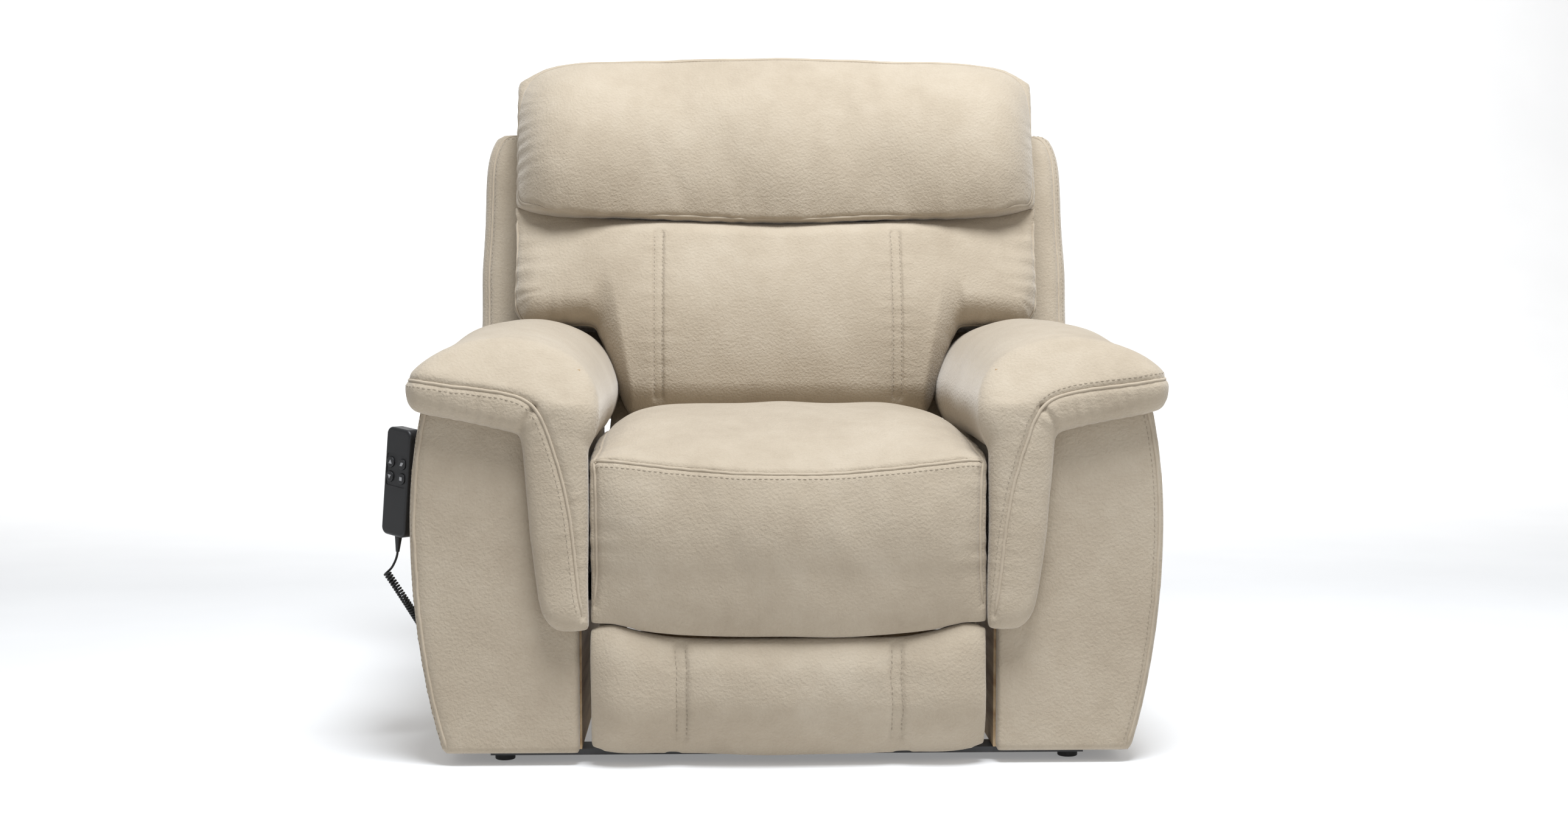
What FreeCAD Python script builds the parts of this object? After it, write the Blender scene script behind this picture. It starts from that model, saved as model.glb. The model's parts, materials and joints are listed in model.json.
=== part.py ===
import FreeCAD, Part
import math
import os

os.makedirs("parts", exist_ok=True)
V = FreeCAD.Vector

# All sizes in mm. The chair faces -Y, +Z is up, and the sitter's right arm is on -X.
# Main sizes
half_width = 520.0      # fullest point of an arm's outer side
arm_front = -440.0      # front face of the arm panels
arm_rear = 205.0        # rear face of the arms
arm_bottom = 17.0       # floor to arm
arm_top = 545.0         # top of the arm boards
seat_half = 271.0       # half width of seat cushion and footrest
side_room = 14.0        # seat to the inner arm boards
arm_gap = 2 * (seat_half + side_room)
seat_line = 344.0       # underside of the seat cushion
seat_crown = 478.0      # highest point of the seat
seat_front = -490.0     # fullest point of the seat border
seat_rear = 120.0       # rear end of the seat cushion
back_half = 428.0       # half width of headrest and lumbar cushion
wing_show = 62.0        # the wings stand this far past the cushions
shell_half = back_half + wing_show
back_tilt = 13.0        # back leans this far at rest, degrees
hinge_y = 140.0         # back hinge
hinge_z = 290.0
crease = 464.0          # headrest to lumbar crease, above the hinge along the back
head_top = 752.0        # top of the headrest, above the hinge along the back
shell_top = 646.0       # top of the wings, above the hinge along the back
board = 15.0            # arm board thickness
fit = 0.05              # running fit, on the radius
gap = 0.3               # between pieces that lie together
side_gap = 3.0          # between plates that pass each other
seam_lumbar = 192.0     # stitched channels of the lumbar cushion
seam_foot = 148.0       # stitched channels of the footrest

# Lift: pivots as (y, z)
lift_foot = (-260.0, 90.0)
lift_length = 400.0
lift_rest = 6.0
lift_turn = 50.0
guide_foot = (-300.0, 90.0)
guide_head = (21.0, 130.0)
lift_head = (
    lift_foot[0] + lift_length * math.cos(math.radians(lift_rest)),
    lift_foot[1] + lift_length * math.sin(math.radians(lift_rest)),
)
lever_reach = 85.0      # height of the push rod over the lift pivot
lever_lean = lift_turn / 2.0

# Footrest: pivots as (y, z)
foot_drive = (-353.0, 274.7)
foot_elbow = (-176.3, 149.3)
foot_hang = (-398.8, 71.2)
foot_turn = math.radians(129.3)     # turn of the main links from folded to open

# Plates from the inside out, each as (inner x, outer x)
plate_t = 6.0
layer_step = plate_t + side_gap
lug_x = (176.0, 176.0 + plate_t)
lift_x = (lug_x[0] - 2.0 - 8.0, lug_x[0] - 2.0)
guide_x = (lug_x[1] + 2.0, lug_x[1] + 2.0 + plate_t)
side_x = (arm_gap / 2 - 14.0, arm_gap / 2)
track_x = (side_x[0] - plate_t, side_x[0])
plate_x = (track_x[0] - layer_step, track_x[0] - side_gap)
main_x = (plate_x[0] - layer_step, plate_x[0] - side_gap)
reach_x = (main_x[0] - layer_step, main_x[0] - side_gap)
bracket_x = (reach_x[0] - layer_step, reach_x[0] - side_gap)

# Handset
hand_l = 157.0
hand_w = 52.0
hand_t = 24.0
hand_turn = 42.0        # face turned outwards from the front, degrees
hand_lean = 6.2         # top leans to the arm, degrees
hand_off = 31.3         # middle of the handset to the arm's fullest point
hand_mid = V(-half_width - hand_off, -265.4, 377.5)
button_r = 7.6
button_gap = 0.4
cord_r = 1.7
coil_r = 4.3
coil_pitch = 4.4
coil_start = 150.0      # where on its circle the coil begins, degrees

# The row's origin lies on the floor at the middle of the whole chair's box
hand_reach = (
    -hand_mid.x
    + hand_w / 2 * math.cos(math.radians(hand_turn))
    + hand_t / 2 * math.sin(math.radians(hand_turn))
    + hand_l / 2 * math.sin(math.radians(hand_lean)) * math.cos(math.radians(hand_turn))
)
panel_rear = 158.0
rear_t = 12.0
tilt = math.radians(back_tilt)
chair_rear = hinge_y + (panel_rear + rear_t) * math.cos(tilt) + shell_top * math.sin(tilt)
row_shift = V((hand_reach - half_width) / 2, -(seat_front + chair_rear) / 2, 0)
print("row shift", row_shift)


def box(x, y, z):
    return Part.makeBox(x[1] - x[0], y[1] - y[0], z[1] - z[0], V(x[0], y[0], z[0]))


def rod_x(x, y, z, r):
    return Part.makeCylinder(r, x[1] - x[0], V(x[0], y, z), V(1, 0, 0))


def rod_y(x, y, z, r):
    return Part.makeCylinder(r, y[1] - y[0], V(x, y[0], z), V(0, 1, 0))


def mirrored(shape):
    return shape.mirror(V(0, 0, 0), V(1, 0, 0))


def pair(shape):
    return [shape, mirrored(shape)]


def save(name, *shapes):
    shape = shapes[0] if len(shapes) == 1 else Part.makeCompound(list(shapes))
    shape = shape.copy()
    shape.translate(row_shift)
    shape.exportStep("parts/" + name + ".step")
    good = all(s.isValid() and s.Volume > 0 for s in shape.Solids)
    print(name, len(shape.Solids), "solids", "ok" if good else "BAD")


def outline(points, place):
    # Closed outline, anticlockwise; each point is (u, v, bow) and bow swells the edge that leaves it
    edges = []
    for i, (u, v, bow) in enumerate(points):
        u2, v2 = points[(i + 1) % len(points)][:2]
        a = place(u, v)
        b = place(u2, v2)
        if bow == 0:
            edges.append(Part.LineSegment(a, b).toShape())
            continue
        run = math.hypot(u2 - u, v2 - v)
        m = place((u + u2) / 2 + bow * (v2 - v) / run, (v + v2) / 2 - bow * (u2 - u) / run)
        edges.append(Part.Arc(a, m, b).toShape())
    return Part.Wire(edges)


def at_x(x):
    return lambda y, z: V(x, y, z)


def at_y(y):
    return lambda x, z: V(x, y, z)


def at_z(z):
    return lambda x, y: V(x, y, z)


def loft(wires):
    return Part.makeLoft(wires, True, False)


def slab(points, place, run):
    return Part.Face(outline(points, place)).extrude(run)


def plate(points, x):
    # Flat plate standing along Y, from an outline of (y, z, bow)
    return slab(points, at_x(x[0]), V(x[1] - x[0], 0, 0))


def bar(a, b, half, x):
    # Flat link with round ends on the pivots a and b
    dy = b[0] - a[0]
    dz = b[1] - a[1]
    run = math.hypot(dy, dz)
    ny = -dz / run * half
    nz = dy / run * half
    mid = plate(
        [
            (a[0] - ny, a[1] - nz, 0),
            (b[0] - ny, b[1] - nz, 0),
            (b[0] + ny, b[1] + nz, 0),
            (a[0] + ny, a[1] + nz, 0),
        ],
        x,
    )
    return mid.fuse([rod_x(x, *a, half), rod_x(x, *b, half)]).removeSplitter()


def bored(shape, spot, r, x):
    return shape.cut(rod_x((x[0] - 1, x[1] + 1), *spot, r))


def hollow(x, y, z, wall, along):
    # Box section with open ends along one axis
    spans = {"x": x, "y": y, "z": z}
    inner = {k: (a + wall, b - wall) for k, (a, b) in spans.items()}
    inner[along] = (spans[along][0] - 1, spans[along][1] + 1)
    return box(x, y, z).cut(box(inner["x"], inner["y"], inner["z"]))


# Base
foot_r = 14.0
foot_h = 10.0
flat_h = 8.0
flat_w = 50.0
foot_x = 394.0
front_y = arm_front + 40.0 + foot_r
rear_y = 285.0
flat_top = foot_h + flat_h
rail_x = (168.0, 193.0)
rail_top = flat_top + 40.0
bar_x = foot_x + foot_r + 4.0
feet = []
for x in (-foot_x, foot_x):
    for y in (front_y, rear_y):
        foot = Part.makeCylinder(foot_r, foot_h, V(x, y, 0))
        rim = [e for e in foot.Edges if e.BoundBox.ZMax < 0.1 and e.Closed]
        feet.append(foot.makeFillet(2.0, rim))
save("base_feet", *feet)
mid_y = (40.0, 80.0)
bars = []
for y in (front_y, rear_y):
    bars.append(box((-bar_x, bar_x), (y - flat_w / 2, y + flat_w / 2), (foot_h, flat_top)))
cross = hollow((-rail_x[0], rail_x[0]), mid_y, (flat_top, rail_top), 2.5, "x")
save("base_cross_bars", *bars, cross)
pin_r = 8.0
rail_y = (front_y - flat_w / 2, rear_y + flat_w / 2)
rail = hollow(rail_x, rail_y, (flat_top, rail_top), 2.5, "y")
lug = plate(
    [
        (guide_foot[0] - 28, rail_top, 0),
        (lift_foot[0] + 40, rail_top, 0),
        (lift_foot[0] + 18, lift_foot[1] + 18, 0),
        (guide_foot[0] - 14, guide_foot[1] + 18, 0),
    ],
    lug_x,
)
stud_lift = rod_x((lift_x[0], lug_x[0] + 1), *lift_foot, pin_r)
stud_guide = rod_x((lug_x[1] - 1, guide_x[1] + 2), *guide_foot, pin_r)
base_rail = rail.fuse([lug, stud_lift, stud_guide]).removeSplitter()
save("base_side_rails", *pair(base_rail))

# Lift arms, torque tube, lever
arm = bar(lift_foot, lift_head, 20.0, lift_x)
arm = bored(bored(arm, lift_foot, pin_r + fit, lift_x), lift_head, pin_r + fit, lift_x)
save("lift_arms", *pair(arm))
torque_r = 17.0
tube = rod_x((-lift_x[0], lift_x[0]), *lift_foot, torque_r)
tube = tube.cut(rod_x((-lift_x[0] - 1, lift_x[0] + 1), *lift_foot, torque_r - 3.0))
save("lift_torque_tube", tube)
lever_x = (50.0, 60.0)
rod_z = lift_foot[1] + lever_reach
pin_y = lift_foot[0] + lever_reach * math.tan(math.radians(lever_lean))
cross_r = 6.0
slot_half = cross_r + 1.7
lever_end = lever_reach / math.cos(math.radians(lever_lean))
lean = math.radians(90.0 - lever_lean)


def on_lever(r):
    return (lift_foot[0] + r * math.cos(lean), lift_foot[1] + r * math.sin(lean))


slot_x = (lever_x[0] - 1, lever_x[1] + 1)
lever = bar(lift_foot, on_lever(lever_end + 6.0), 18.0, lever_x)
lever = lever.fuse(rod_x(lever_x, *lift_foot, torque_r + 8.0))
slot = bar(on_lever(lever_reach - 6.0), on_lever(lever_end + 5.0), slot_half, slot_x)
lever = bored(lever, lift_foot, torque_r, lever_x).cut(slot)
save("lift_lever", lever.removeSplitter())
guide = bar(guide_foot, guide_head, 15.0, guide_x)
guide = bored(bored(guide, guide_foot, pin_r + fit, guide_x), guide_head, pin_r + 2.0, guide_x)
save("guide_arms", *pair(guide))

# Lift motor and its push rod
push_x = (lever_x[0] + lever_x[1]) / 2
stroke = 2 * lever_reach * math.tan(math.radians(lever_lean))
print("lift rod stroke", stroke)
rod_r = 10.0
fork_t = 6.0
fork_in = lever_x[0] - push_x - gap
fork_rear = pin_y + 42.0
fork_h = 11.0
fork_x = (push_x + fork_in, push_x - fork_in)
fork_z = (rod_z - fork_h, rod_z + fork_h)
fork = box((fork_x[0] - fork_t, fork_x[1] + fork_t), (pin_y - fork_h, fork_rear), fork_z)
mouth_y = (pin_y - fork_h - 1, fork_rear - 12)
fork = fork.cut(box(fork_x, mouth_y, (rod_z - fork_h - 1, rod_z + fork_h + 1)))
cross_pin = rod_x((fork_x[0] - 1, fork_x[1] + 1), pin_y, rod_z, cross_r)
tube_y = (fork_rear + 4.0, 60.0)
push_rod = rod_y(push_x, (fork_rear - 1, tube_y[1] - 50), rod_z, rod_r)
save("lift_rod", fork.fuse([cross_pin, push_rod]).removeSplitter())
motor_tube = rod_y(push_x, tube_y, rod_z, rod_r + 8.0)
motor_tube = motor_tube.cut(rod_y(push_x, (tube_y[0] - 1, tube_y[1] - 6), rod_z, rod_r + fit))
gear_x = (push_x - 30.0, push_x + 30.0)
gear = box(gear_x, (tube_y[1] - 4, 124.0), (rod_z - 30, rod_z + 30))
gear = gear.makeFillet(6.0, gear.Edges)
can = rod_x((gear_x[0] - 62.0, gear_x[0] + 6.0), 90.0, rod_z, 24.0)
save("lift_motor", motor_tube.fuse([gear, can]).removeSplitter())
cradle = []
for x in ((gear_x[0] + 10, gear_x[0] + 16), (gear_x[1] - 16, gear_x[1] - 10)):
    cradle.append(box(x, (mid_y[0] + 2, mid_y[1] - 2), (rail_top, rod_z - 34)))
saddle = box((gear_x[0] + 4, gear_x[1] - 4), (mid_y[0] + 2, 118.0), (rod_z - 34, rod_z - 30))
save("lift_cradle", saddle.fuse(cradle).removeSplitter())

# Power supply on the rear bar, with its lead inlet at the rear
supply_y = (rear_y - 22.0, rear_y + flat_w / 2 - 2)
supply = box((-130.0, -10.0), supply_y, (flat_top, flat_top + 52.0))
supply = supply.makeFillet(4.0, [e for e in supply.Edges if e.BoundBox.ZMin > flat_top + 1])
inlet = box((-90.0, -68.0), (supply_y[1] - 14, supply_y[1] + 1), (flat_top + 18, flat_top + 32))
save("power_supply", supply.cut(inlet))

# Chair frame
tube_z = (220.0, 248.0)
rear_tube_y = (165.0, 193.0)
front_tube_y = (-115.0, -87.0)
tubes = [hollow((-side_x[0], side_x[0]), y, tube_z, 2.5, "x") for y in (front_tube_y, rear_tube_y)]
save("chair_cross_tubes", *tubes)
hanger = plate(
    [
        (guide_head[0] - 22, guide_head[1] - 16, 0),
        (lift_head[0] + 10, lift_head[1] - 22, 0),
        (rear_tube_y[1], lift_head[1] + 14, 0),
        (rear_tube_y[1], tube_z[0], 0),
        (rear_tube_y[0] - 20, tube_z[0], 0),
        (guide_head[0] - 22, guide_head[1] + 20, 0),
    ],
    lug_x,
)
head_lift = rod_x((lift_x[0] - 2, lug_x[0] + 1), *lift_head, pin_r)
head_guide = rod_x((lug_x[1] - 1, guide_x[1] + 2), *guide_head, pin_r)
hanger = hanger.fuse([head_lift, head_guide]).removeSplitter()
save("lift_hangers", *pair(hanger))
side_y = (arm_front + 110.0, arm_rear - 8.0)
side_rail = hollow(side_x, side_y, (tube_z[0] - 6, tube_z[1] + 6), 2.0, "y")
save("chair_side_rails", *pair(side_rail))
glide = 50.0
guide_pin_r = 6.0
track_z = (tube_z[0] - 6, 306.0)
track_pins = ((-90.0, hinge_z - 14.0), (90.0, hinge_z - 14.0))
track_y = (track_pins[0][0] - glide - 30, track_pins[1][0] + 30)
track = box(track_x, track_y, track_z)
for y, z in track_pins:
    track = track.cut(bar((y - glide, z), (y, z), guide_pin_r + fit, (track_x[0] - 1, track_x[1] + 1)))
track = track.cut(box((track_x[0] - 1, track_x[1] + 1), front_tube_y, (tube_z[0] - 8, tube_z[1] + 2)))
save("seat_tracks", *pair(track))
bolts = []
bolt_z = (tube_z[0] + tube_z[1]) / 2
for y in (side_y[0] + 20, track_y[0] - 20, rear_tube_y[0] - 20):
    bolts += pair(rod_x((side_x[0] - 4.0, side_x[0]), y, bolt_z, 7.0))
save("arm_bolts", *bolts)

# Recline motor on the rear cross tube, its rod on the seat's drive bar
pull_x = -80.0
pull_z = tube_z[1] + 24.0
drive_y = (-75.0, -55.0)
pull_rod_r = 8.0
case_y = (rear_tube_y[0] - 36, rear_tube_y[1])
case = box((pull_x - 28, pull_x + 28), case_y, (tube_z[1], tube_z[1] + 46))
case = case.makeFillet(5.0, [e for e in case.Edges if e.BoundBox.ZMin > tube_z[1] + 1])
pull_tube_y = (drive_y[1] + 30.0, case_y[0] + 4)
pull_tube = rod_y(pull_x, pull_tube_y, pull_z, pull_rod_r + 7.0)
pull_can = rod_x((pull_x + 20, pull_x + 84), rear_tube_y[0] - 4, pull_z, 20.0)
case = case.fuse([pull_tube, pull_can])
case = case.cut(rod_y(pull_x, (pull_tube_y[0] - 1, pull_tube_y[1] - 2), pull_z, pull_rod_r + fit))
save("recline_motor", case.removeSplitter())
pull_rod = rod_y(pull_x, (drive_y[1], pull_tube_y[1] - 8), pull_z, pull_rod_r)
flange = rod_y(pull_x, (drive_y[1], drive_y[1] + 6), pull_z, pull_rod_r + 6)
save("recline_rod", pull_rod.fuse(flange).removeSplitter())

# Arms: outer side curve as lower, fullest and upper point
full_z = 330.0
lower_in = 42.0
upper_in = 20.0
panel_top = 504.0
skin = 14.0
panel_t = 20.0
front_in = 9.0          # front panel stands this far inside the fullest side
inner_x = (arm_gap / 2, arm_gap / 2 + board)


def arc_bow(run, rise):
    # Height of an arc over its chord when one end runs straight along rise
    chord = math.hypot(run, rise)
    return chord * chord / (8 * (rise * rise + run * run) / (2 * run))


low_bow = arc_bow(lower_in, full_z - arm_bottom)
up_bow = arc_bow(upper_in, panel_top - full_z)


def side_strip(shift):
    x = half_width - shift
    return [
        (x - lower_in - skin, arm_bottom, 0),
        (x - lower_in, arm_bottom, low_bow),
        (x, full_z, up_bow),
        (x - upper_in, panel_top, 0),
        (x - upper_in - skin, panel_top, -up_bow),
        (x - skin, full_z, -low_bow),
    ]


def side_panel(shift, top, low_x):
    x = half_width - shift
    return [
        (low_x, arm_bottom, 0),
        (x - lower_in, arm_bottom, low_bow),
        (x, full_z, up_bow),
        (x - upper_in, top, 0),
        (low_x, top, 0),
    ]


board_front = arm_front + panel_t
mid_side = (board_front + arm_rear - 10) / 2
stations = ((board_front, front_in), (mid_side, 0.0), (arm_rear - 10, front_in))
outer = loft([outline(side_strip(shift), at_y(y)) for y, shift in stations])
side_block = loft([outline(side_panel(shift, panel_top, inner_x[0]), at_y(y)) for y, shift in stations])
front = slab(side_panel(front_in, panel_top, inner_x[0] + 2), at_y(arm_front), V(0, panel_t, 0))
front = front.makeFillet(7.0, [e for e in front.Edges if e.BoundBox.YMax < arm_front + 0.1])
inner = box(inner_x, (board_front, arm_rear - 10), (arm_bottom + 3, arm_top))
top_x = (inner_x[1], half_width - upper_in - skin - front_in)
top = box(top_x, (board_front, arm_rear - 10), (arm_top - board, arm_top))
rear = slab(side_panel(front_in, panel_top, inner_x[0] + 2), at_y(arm_rear - 10), V(0, 10.0, 0))
for side, turn in (("right", mirrored), ("left", lambda s: s)):
    save(side + "_arm_frame", turn(inner), turn(top), turn(rear))
    save(side + "_arm_outer_panel", turn(outer))
    save(side + "_arm_front_panel", turn(front))

# Arm pads: a pillow over the top board that hooks down both sides, with a thick front lip
pad_over = 30.0         # the pads stand in past the inner boards
pad_in = arm_gap / 2 - pad_over
pad_out = half_width - 12.0
lip_z = 512.0
pad_edge = 552.0        # height of the pad's long edges
pad_low = 456.0
crown = 59.0


def hook(swell, drop, draw):
    return [
        (pad_in + 6, pad_low, 0),
        (inner_x[0] - gap, pad_low, 0),
        (inner_x[0] - gap, arm_top + gap, 0),
        (pad_out - 12, arm_top + gap, 0),
        (pad_out - 12, lip_z, 0),
        (pad_out - 3, lip_z, 3.0),
        (pad_out - draw, pad_edge - drop, swell),
        (pad_in + draw, pad_edge + 2 - drop, 5.0),
    ]


lip_front = arm_front - 28.0


def lip(shrink, swell):
    return [
        (pad_in + 4 + shrink, 470 + shrink, 0),
        (pad_in + 110, 470 + shrink, 0),
        (pad_out - 3 - shrink, lip_z - 8 + shrink / 2, 3.0),
        (pad_out - shrink, pad_edge - shrink / 2, swell),
        (pad_in + shrink, pad_edge + 2 - shrink / 2, 5.0),
    ]


pad_body = loft(
    [
        outline(hook(crown - 2, 2.0, 1.0), at_y(arm_front - gap)),
        outline(hook(crown, 0.0, 0.0), at_y(-300.0)),
        outline(hook(crown, 0.0, 0.0), at_y(0.0)),
        outline(hook(crown - 8, 8.0, 3.0), at_y(arm_rear - 4)),
    ]
)
pad_lip = loft(
    [
        outline(lip(1.0, crown - 2), at_y(arm_front - gap)),
        outline(lip(4.0, crown - 6), at_y(arm_front - 16)),
        outline(lip(16.0, crown - 16), at_y(lip_front)),
    ]
)
pad = pad_body.fuse(pad_lip).removeSplitter()


def roll(x0, x1, y, z):
    rear = arm_front - gap
    return outline([(x0, y + 7, 6.0), (x1, y + 7, 0), (x1, rear, 0), (x0, rear, 0)], at_z(z))


roll_in = seat_half + 6.0
front_roll = loft(
    [
        roll(roll_in + 4, roll_in + 26, arm_front - 12, 190.0),
        roll(roll_in + 1, roll_in + 44, arm_front - 22, 225.0),
        roll(roll_in, roll_in + 64, arm_front - 28, 320.0),
        roll(roll_in, roll_in + 82, arm_front - 29, 430.0),
        roll(roll_in, roll_in + 88, arm_front - 26, 468.0),
    ]
)
for side, turn in (("right", mirrored), ("left", lambda s: s)):
    save(side + "_arm_pad", turn(pad))
    save(side + "_arm_front_roll", turn(front_roll))

# Seat
wire_r = 1.7
rail_z = (seat_line - 44.0, seat_line - gap - 2 * wire_r)
fore_y = (-408.0, -378.0)
aft_y = (seat_rear - 54.0, seat_rear - 24.0)
stud_r = 7.0
seat_plate = plate(
    [
        (foot_drive[0] - 19, foot_drive[1] - 18, 0),
        (hinge_y + 18, hinge_z - 30, 0),
        (hinge_y + 18, hinge_z + 18, 0),
        (fore_y[0], rail_z[1] - 8, 0),
        (fore_y[0], rail_z[0] - 8, 0),
    ],
    plate_x,
)
drive_r = 11.0
seat_plate = bored(seat_plate, foot_drive, drive_r + fit, plate_x)
studs = [rod_x((plate_x[1] - 1, track_x[1]), y, z, guide_pin_r) for y, z in track_pins]
studs.append(rod_x((main_x[0], plate_x[0] + 1), hinge_y, hinge_z, stud_r))
save("seat_side_plates", *pair(seat_plate.fuse(studs).removeSplitter()))
rails = [box((-plate_x[0], plate_x[0]), y, (rail_z[0] - 8, rail_z[1])) for y in (fore_y, aft_y)]
save("seat_rails", *rails)
drive_z = (pull_z - 14, pull_z + 14)
save("seat_drive_bar", hollow((-plate_x[0], plate_x[0]), drive_y, drive_z, 2.5, "x").fuse(
    box((pull_x - 20, pull_x + 20), (drive_y[0] + 2, drive_y[1]), drive_z)).removeSplitter())


def spring(x):
    # Flat zigzag wire: straight runs across, joined by half-turns seen from above
    z = rail_z[1] + wire_r
    half = 18.0
    count = 14
    step = (aft_y[1] - 8 - fore_y[0] - 8) / (count + 1)
    bend = step / 2
    y = fore_y[0] + 8
    edges = [Part.LineSegment(V(x, y, z), V(x + half, y, z)).toShape()]
    side = 1
    for i in range(count):
        edge_x = x + side * half
        peak = V(edge_x + side * bend, y + bend, z)
        edges.append(Part.Arc(V(edge_x, y, z), peak, V(edge_x, y + step, z)).toShape())
        y += step
        last = x if i == count - 1 else x - side * half
        edges.append(Part.LineSegment(V(edge_x, y, z), V(last, y, z)).toShape())
        side = -side
    ring = Part.Wire([Part.Circle(V(x, fore_y[0] + 8, z), V(1, 0, 0), wire_r).toShape()])
    return Part.Wire(edges).makePipeShell([ring], True, False)


save("seat_springs", *[spring(x) for x in (-186.0, -93.0, 0.0, 93.0, 186.0)])


def from_mid(x, half):
    return (x / half) ** 2


seam_mid = 409.0
seam_low = 193.0        # lower edge of the seat border
seam_rise = 18.0
seam_y = seat_front + 12.0
slope_y = fore_y[0] - 4.0


def seat_top(x, ease):
    # ease draws the last sections in towards the ends
    k = from_mid(x, seat_half)
    lift = (seat_crown - seam_mid - 12.0) * (1 - 0.62 * k)
    return outline(
        [
            (slope_y, seat_line, 0),
            (seat_rear - ease, seat_line, 4.0),
            (seat_rear - ease, 432.0 - 8 * k - ease, lift - ease),
            (seam_y + 22 * k + ease, seam_mid + seam_rise * k, 0),
        ],
        at_x(x),
    )


def seat_border(x, ease):
    k = from_mid(x, seat_half)
    low = seam_low + 7 * k
    return outline(
        [
            (seam_y + 34 + 6 * k, low, 0),
            (slope_y - 3.0, low + 6, 0),
            (slope_y - 3.0, seat_line - gap, 0),
            (seam_y + 22 * k + ease, seam_mid + seam_rise * k - 2 * gap, 28.0 - 12 * k - ease),
        ],
        at_x(x),
    )


spread = [(-1.0, 7.0), (-0.93, 1.5), (-0.5, 0.0), (0.0, 0.0), (0.5, 0.0), (0.93, 1.5), (1.0, 7.0)]
save("seat_cushion", loft([seat_top(seat_half * s, e) for s, e in spread]))
save("seat_front_border", loft([seat_border(seat_half * s, e) for s, e in spread]))

# Footrest
foot_low = 20.0
foot_high = 191.0
pad_back = -425.0
foot_board = (pad_back, pad_back + 13.0)


def foot_section(x, bow, draw):
    return outline(
        [
            (pad_back - 14 + draw / 3, foot_low + draw, 2.0),
            (pad_back, foot_low + 6 + draw, 0),
            (pad_back, foot_high - 6 - draw, 2.0),
            (pad_back - 14 + draw / 3, foot_high - draw, bow),
        ],
        at_x(x),
    )


def foot_panel(cuts):
    return loft([foot_section(x, bow, draw) for x, bow, draw in cuts])


mid_half = [(seam_foot / 2, 37.0, 0.0), (seam_foot, 30.0, 2.0)]
mid_panel = foot_panel([(-x, bow, draw) for x, bow, draw in reversed(mid_half)] + mid_half)
end_half = [(seam_foot, 30.0, 2.0), (200.0, 36.0, 0.0), (seat_half - 21.0, 30.0, 1.0), (seat_half, 17.0, 7.0)]
end_panel = foot_panel(end_half)
save("footrest_pad", mid_panel.fuse(pair(end_panel)))
save("footrest_board", box((-seat_half + 14, seat_half - 14), foot_board, (foot_low + 10, foot_high - 8)))
# The main links are cranked: opened out, they run below the seat border
crank_half = 10.0
crank_z = seam_low + 6.0 - gap - 5.0 - crank_half
crank_open = [(slope_y + 24.0, crank_z), (seat_front + 12.0, crank_z)]
crank = [foot_drive]
for y, z in crank_open:
    y -= foot_drive[0]
    z -= foot_drive[1]
    crank.append((
        foot_drive[0] + y * math.cos(foot_turn) - z * math.sin(foot_turn),
        foot_drive[1] + y * math.sin(foot_turn) + z * math.cos(foot_turn),
    ))
crank.append(foot_elbow)
arms = [bar(a, b, crank_half, main_x) for a, b in zip(crank, crank[1:])]
main_link = arms[0].fuse(arms[1:] + [rod_x(main_x, *foot_drive, drive_r + 6.0)]).removeSplitter()
main_link = bored(main_link, foot_drive, drive_r, main_x)
main_link = main_link.fuse(rod_x((reach_x[0] - 2, main_x[0] + 1), *foot_elbow, stud_r)).removeSplitter()
save("footrest_main_links", *pair(main_link))
save("footrest_drive_tube", rod_x((-plate_x[1] - 1, plate_x[1] + 1), *foot_drive, drive_r))
reach = bar(foot_elbow, foot_hang, 10.5, reach_x)
reach = bored(bored(reach, foot_elbow, stud_r + fit, reach_x), foot_hang, stud_r + fit, reach_x)
save("footrest_reach_links", *pair(reach))
bracket = plate(
    [
        (foot_board[1], foot_hang[1] - 24, 0),
        (foot_hang[0] + 8, foot_hang[1] - 9, 0),
        (foot_hang[0] + 10, foot_hang[1] + 9, 0),
        (foot_board[1], foot_hang[1] + 70, 0),
    ],
    bracket_x,
)
flange_x = (bracket_x[0] - 24, bracket_x[1])
flange = box(flange_x, (foot_board[1], foot_board[1] + 4), (foot_hang[1] - 24, foot_hang[1] + 70))
stud = rod_x((bracket_x[1] - 1, reach_x[1] + 2), *foot_hang, stud_r)
save("footrest_brackets", *pair(bracket.fuse([flange, stud]).removeSplitter()))

# Back, drawn upright over the hinge and then leant
BACK = V(0, hinge_y, hinge_z)


def lean_back(shape):
    shape = shape.copy()
    shape.translate(BACK)
    shape.rotate(BACK, V(1, 0, 0), -back_tilt)
    return shape


def save_back(name, *shapes):
    save(name, *[lean_back(s) for s in shapes])


frame_t = 28.0
stile_x = (196.0, main_x[0] - gap)
hinge_shape = [(-16, -18, 0), (16, -18, 0), (22, 60, 0), (22, 200, 0), (4, 200, 0), (-4, 60, 0)]
hinge_plate = plate(hinge_shape, main_x)
save_back("back_brackets", *pair(bored(hinge_plate, (0, 0), stud_r + fit, main_x)))
stile = box(stile_x, (0, frame_t), (46.0, shell_top - 26))
rails = [box((-stile_x[0], stile_x[0]), (0, frame_t), (z, z + 44)) for z in (62.0, 320.0, shell_top - 72)]
ear_low = 350.0
ear = box((stile_x[1], back_half - 12), (0, frame_t), (ear_low, shell_top - 26))
save_back("back_frame", *pair(stile), *rails, *pair(ear))
strap_t = 2.5
strap_w = 46.0
strap_step = 70.0
strap_low = (130.0, 380.0)
straps = []
for z in [low + k * strap_step for low in strap_low for k in range(3)]:
    straps.append(box((-stile_x[1] + 6, stile_x[1] - 6), (-strap_t, 0), (z, z + strap_w)))
save_back("back_webbing", *straps)
back_face = -strap_t - gap


def crease_at(x):
    return crease + 26.0 * from_mid(x, back_half)


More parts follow.
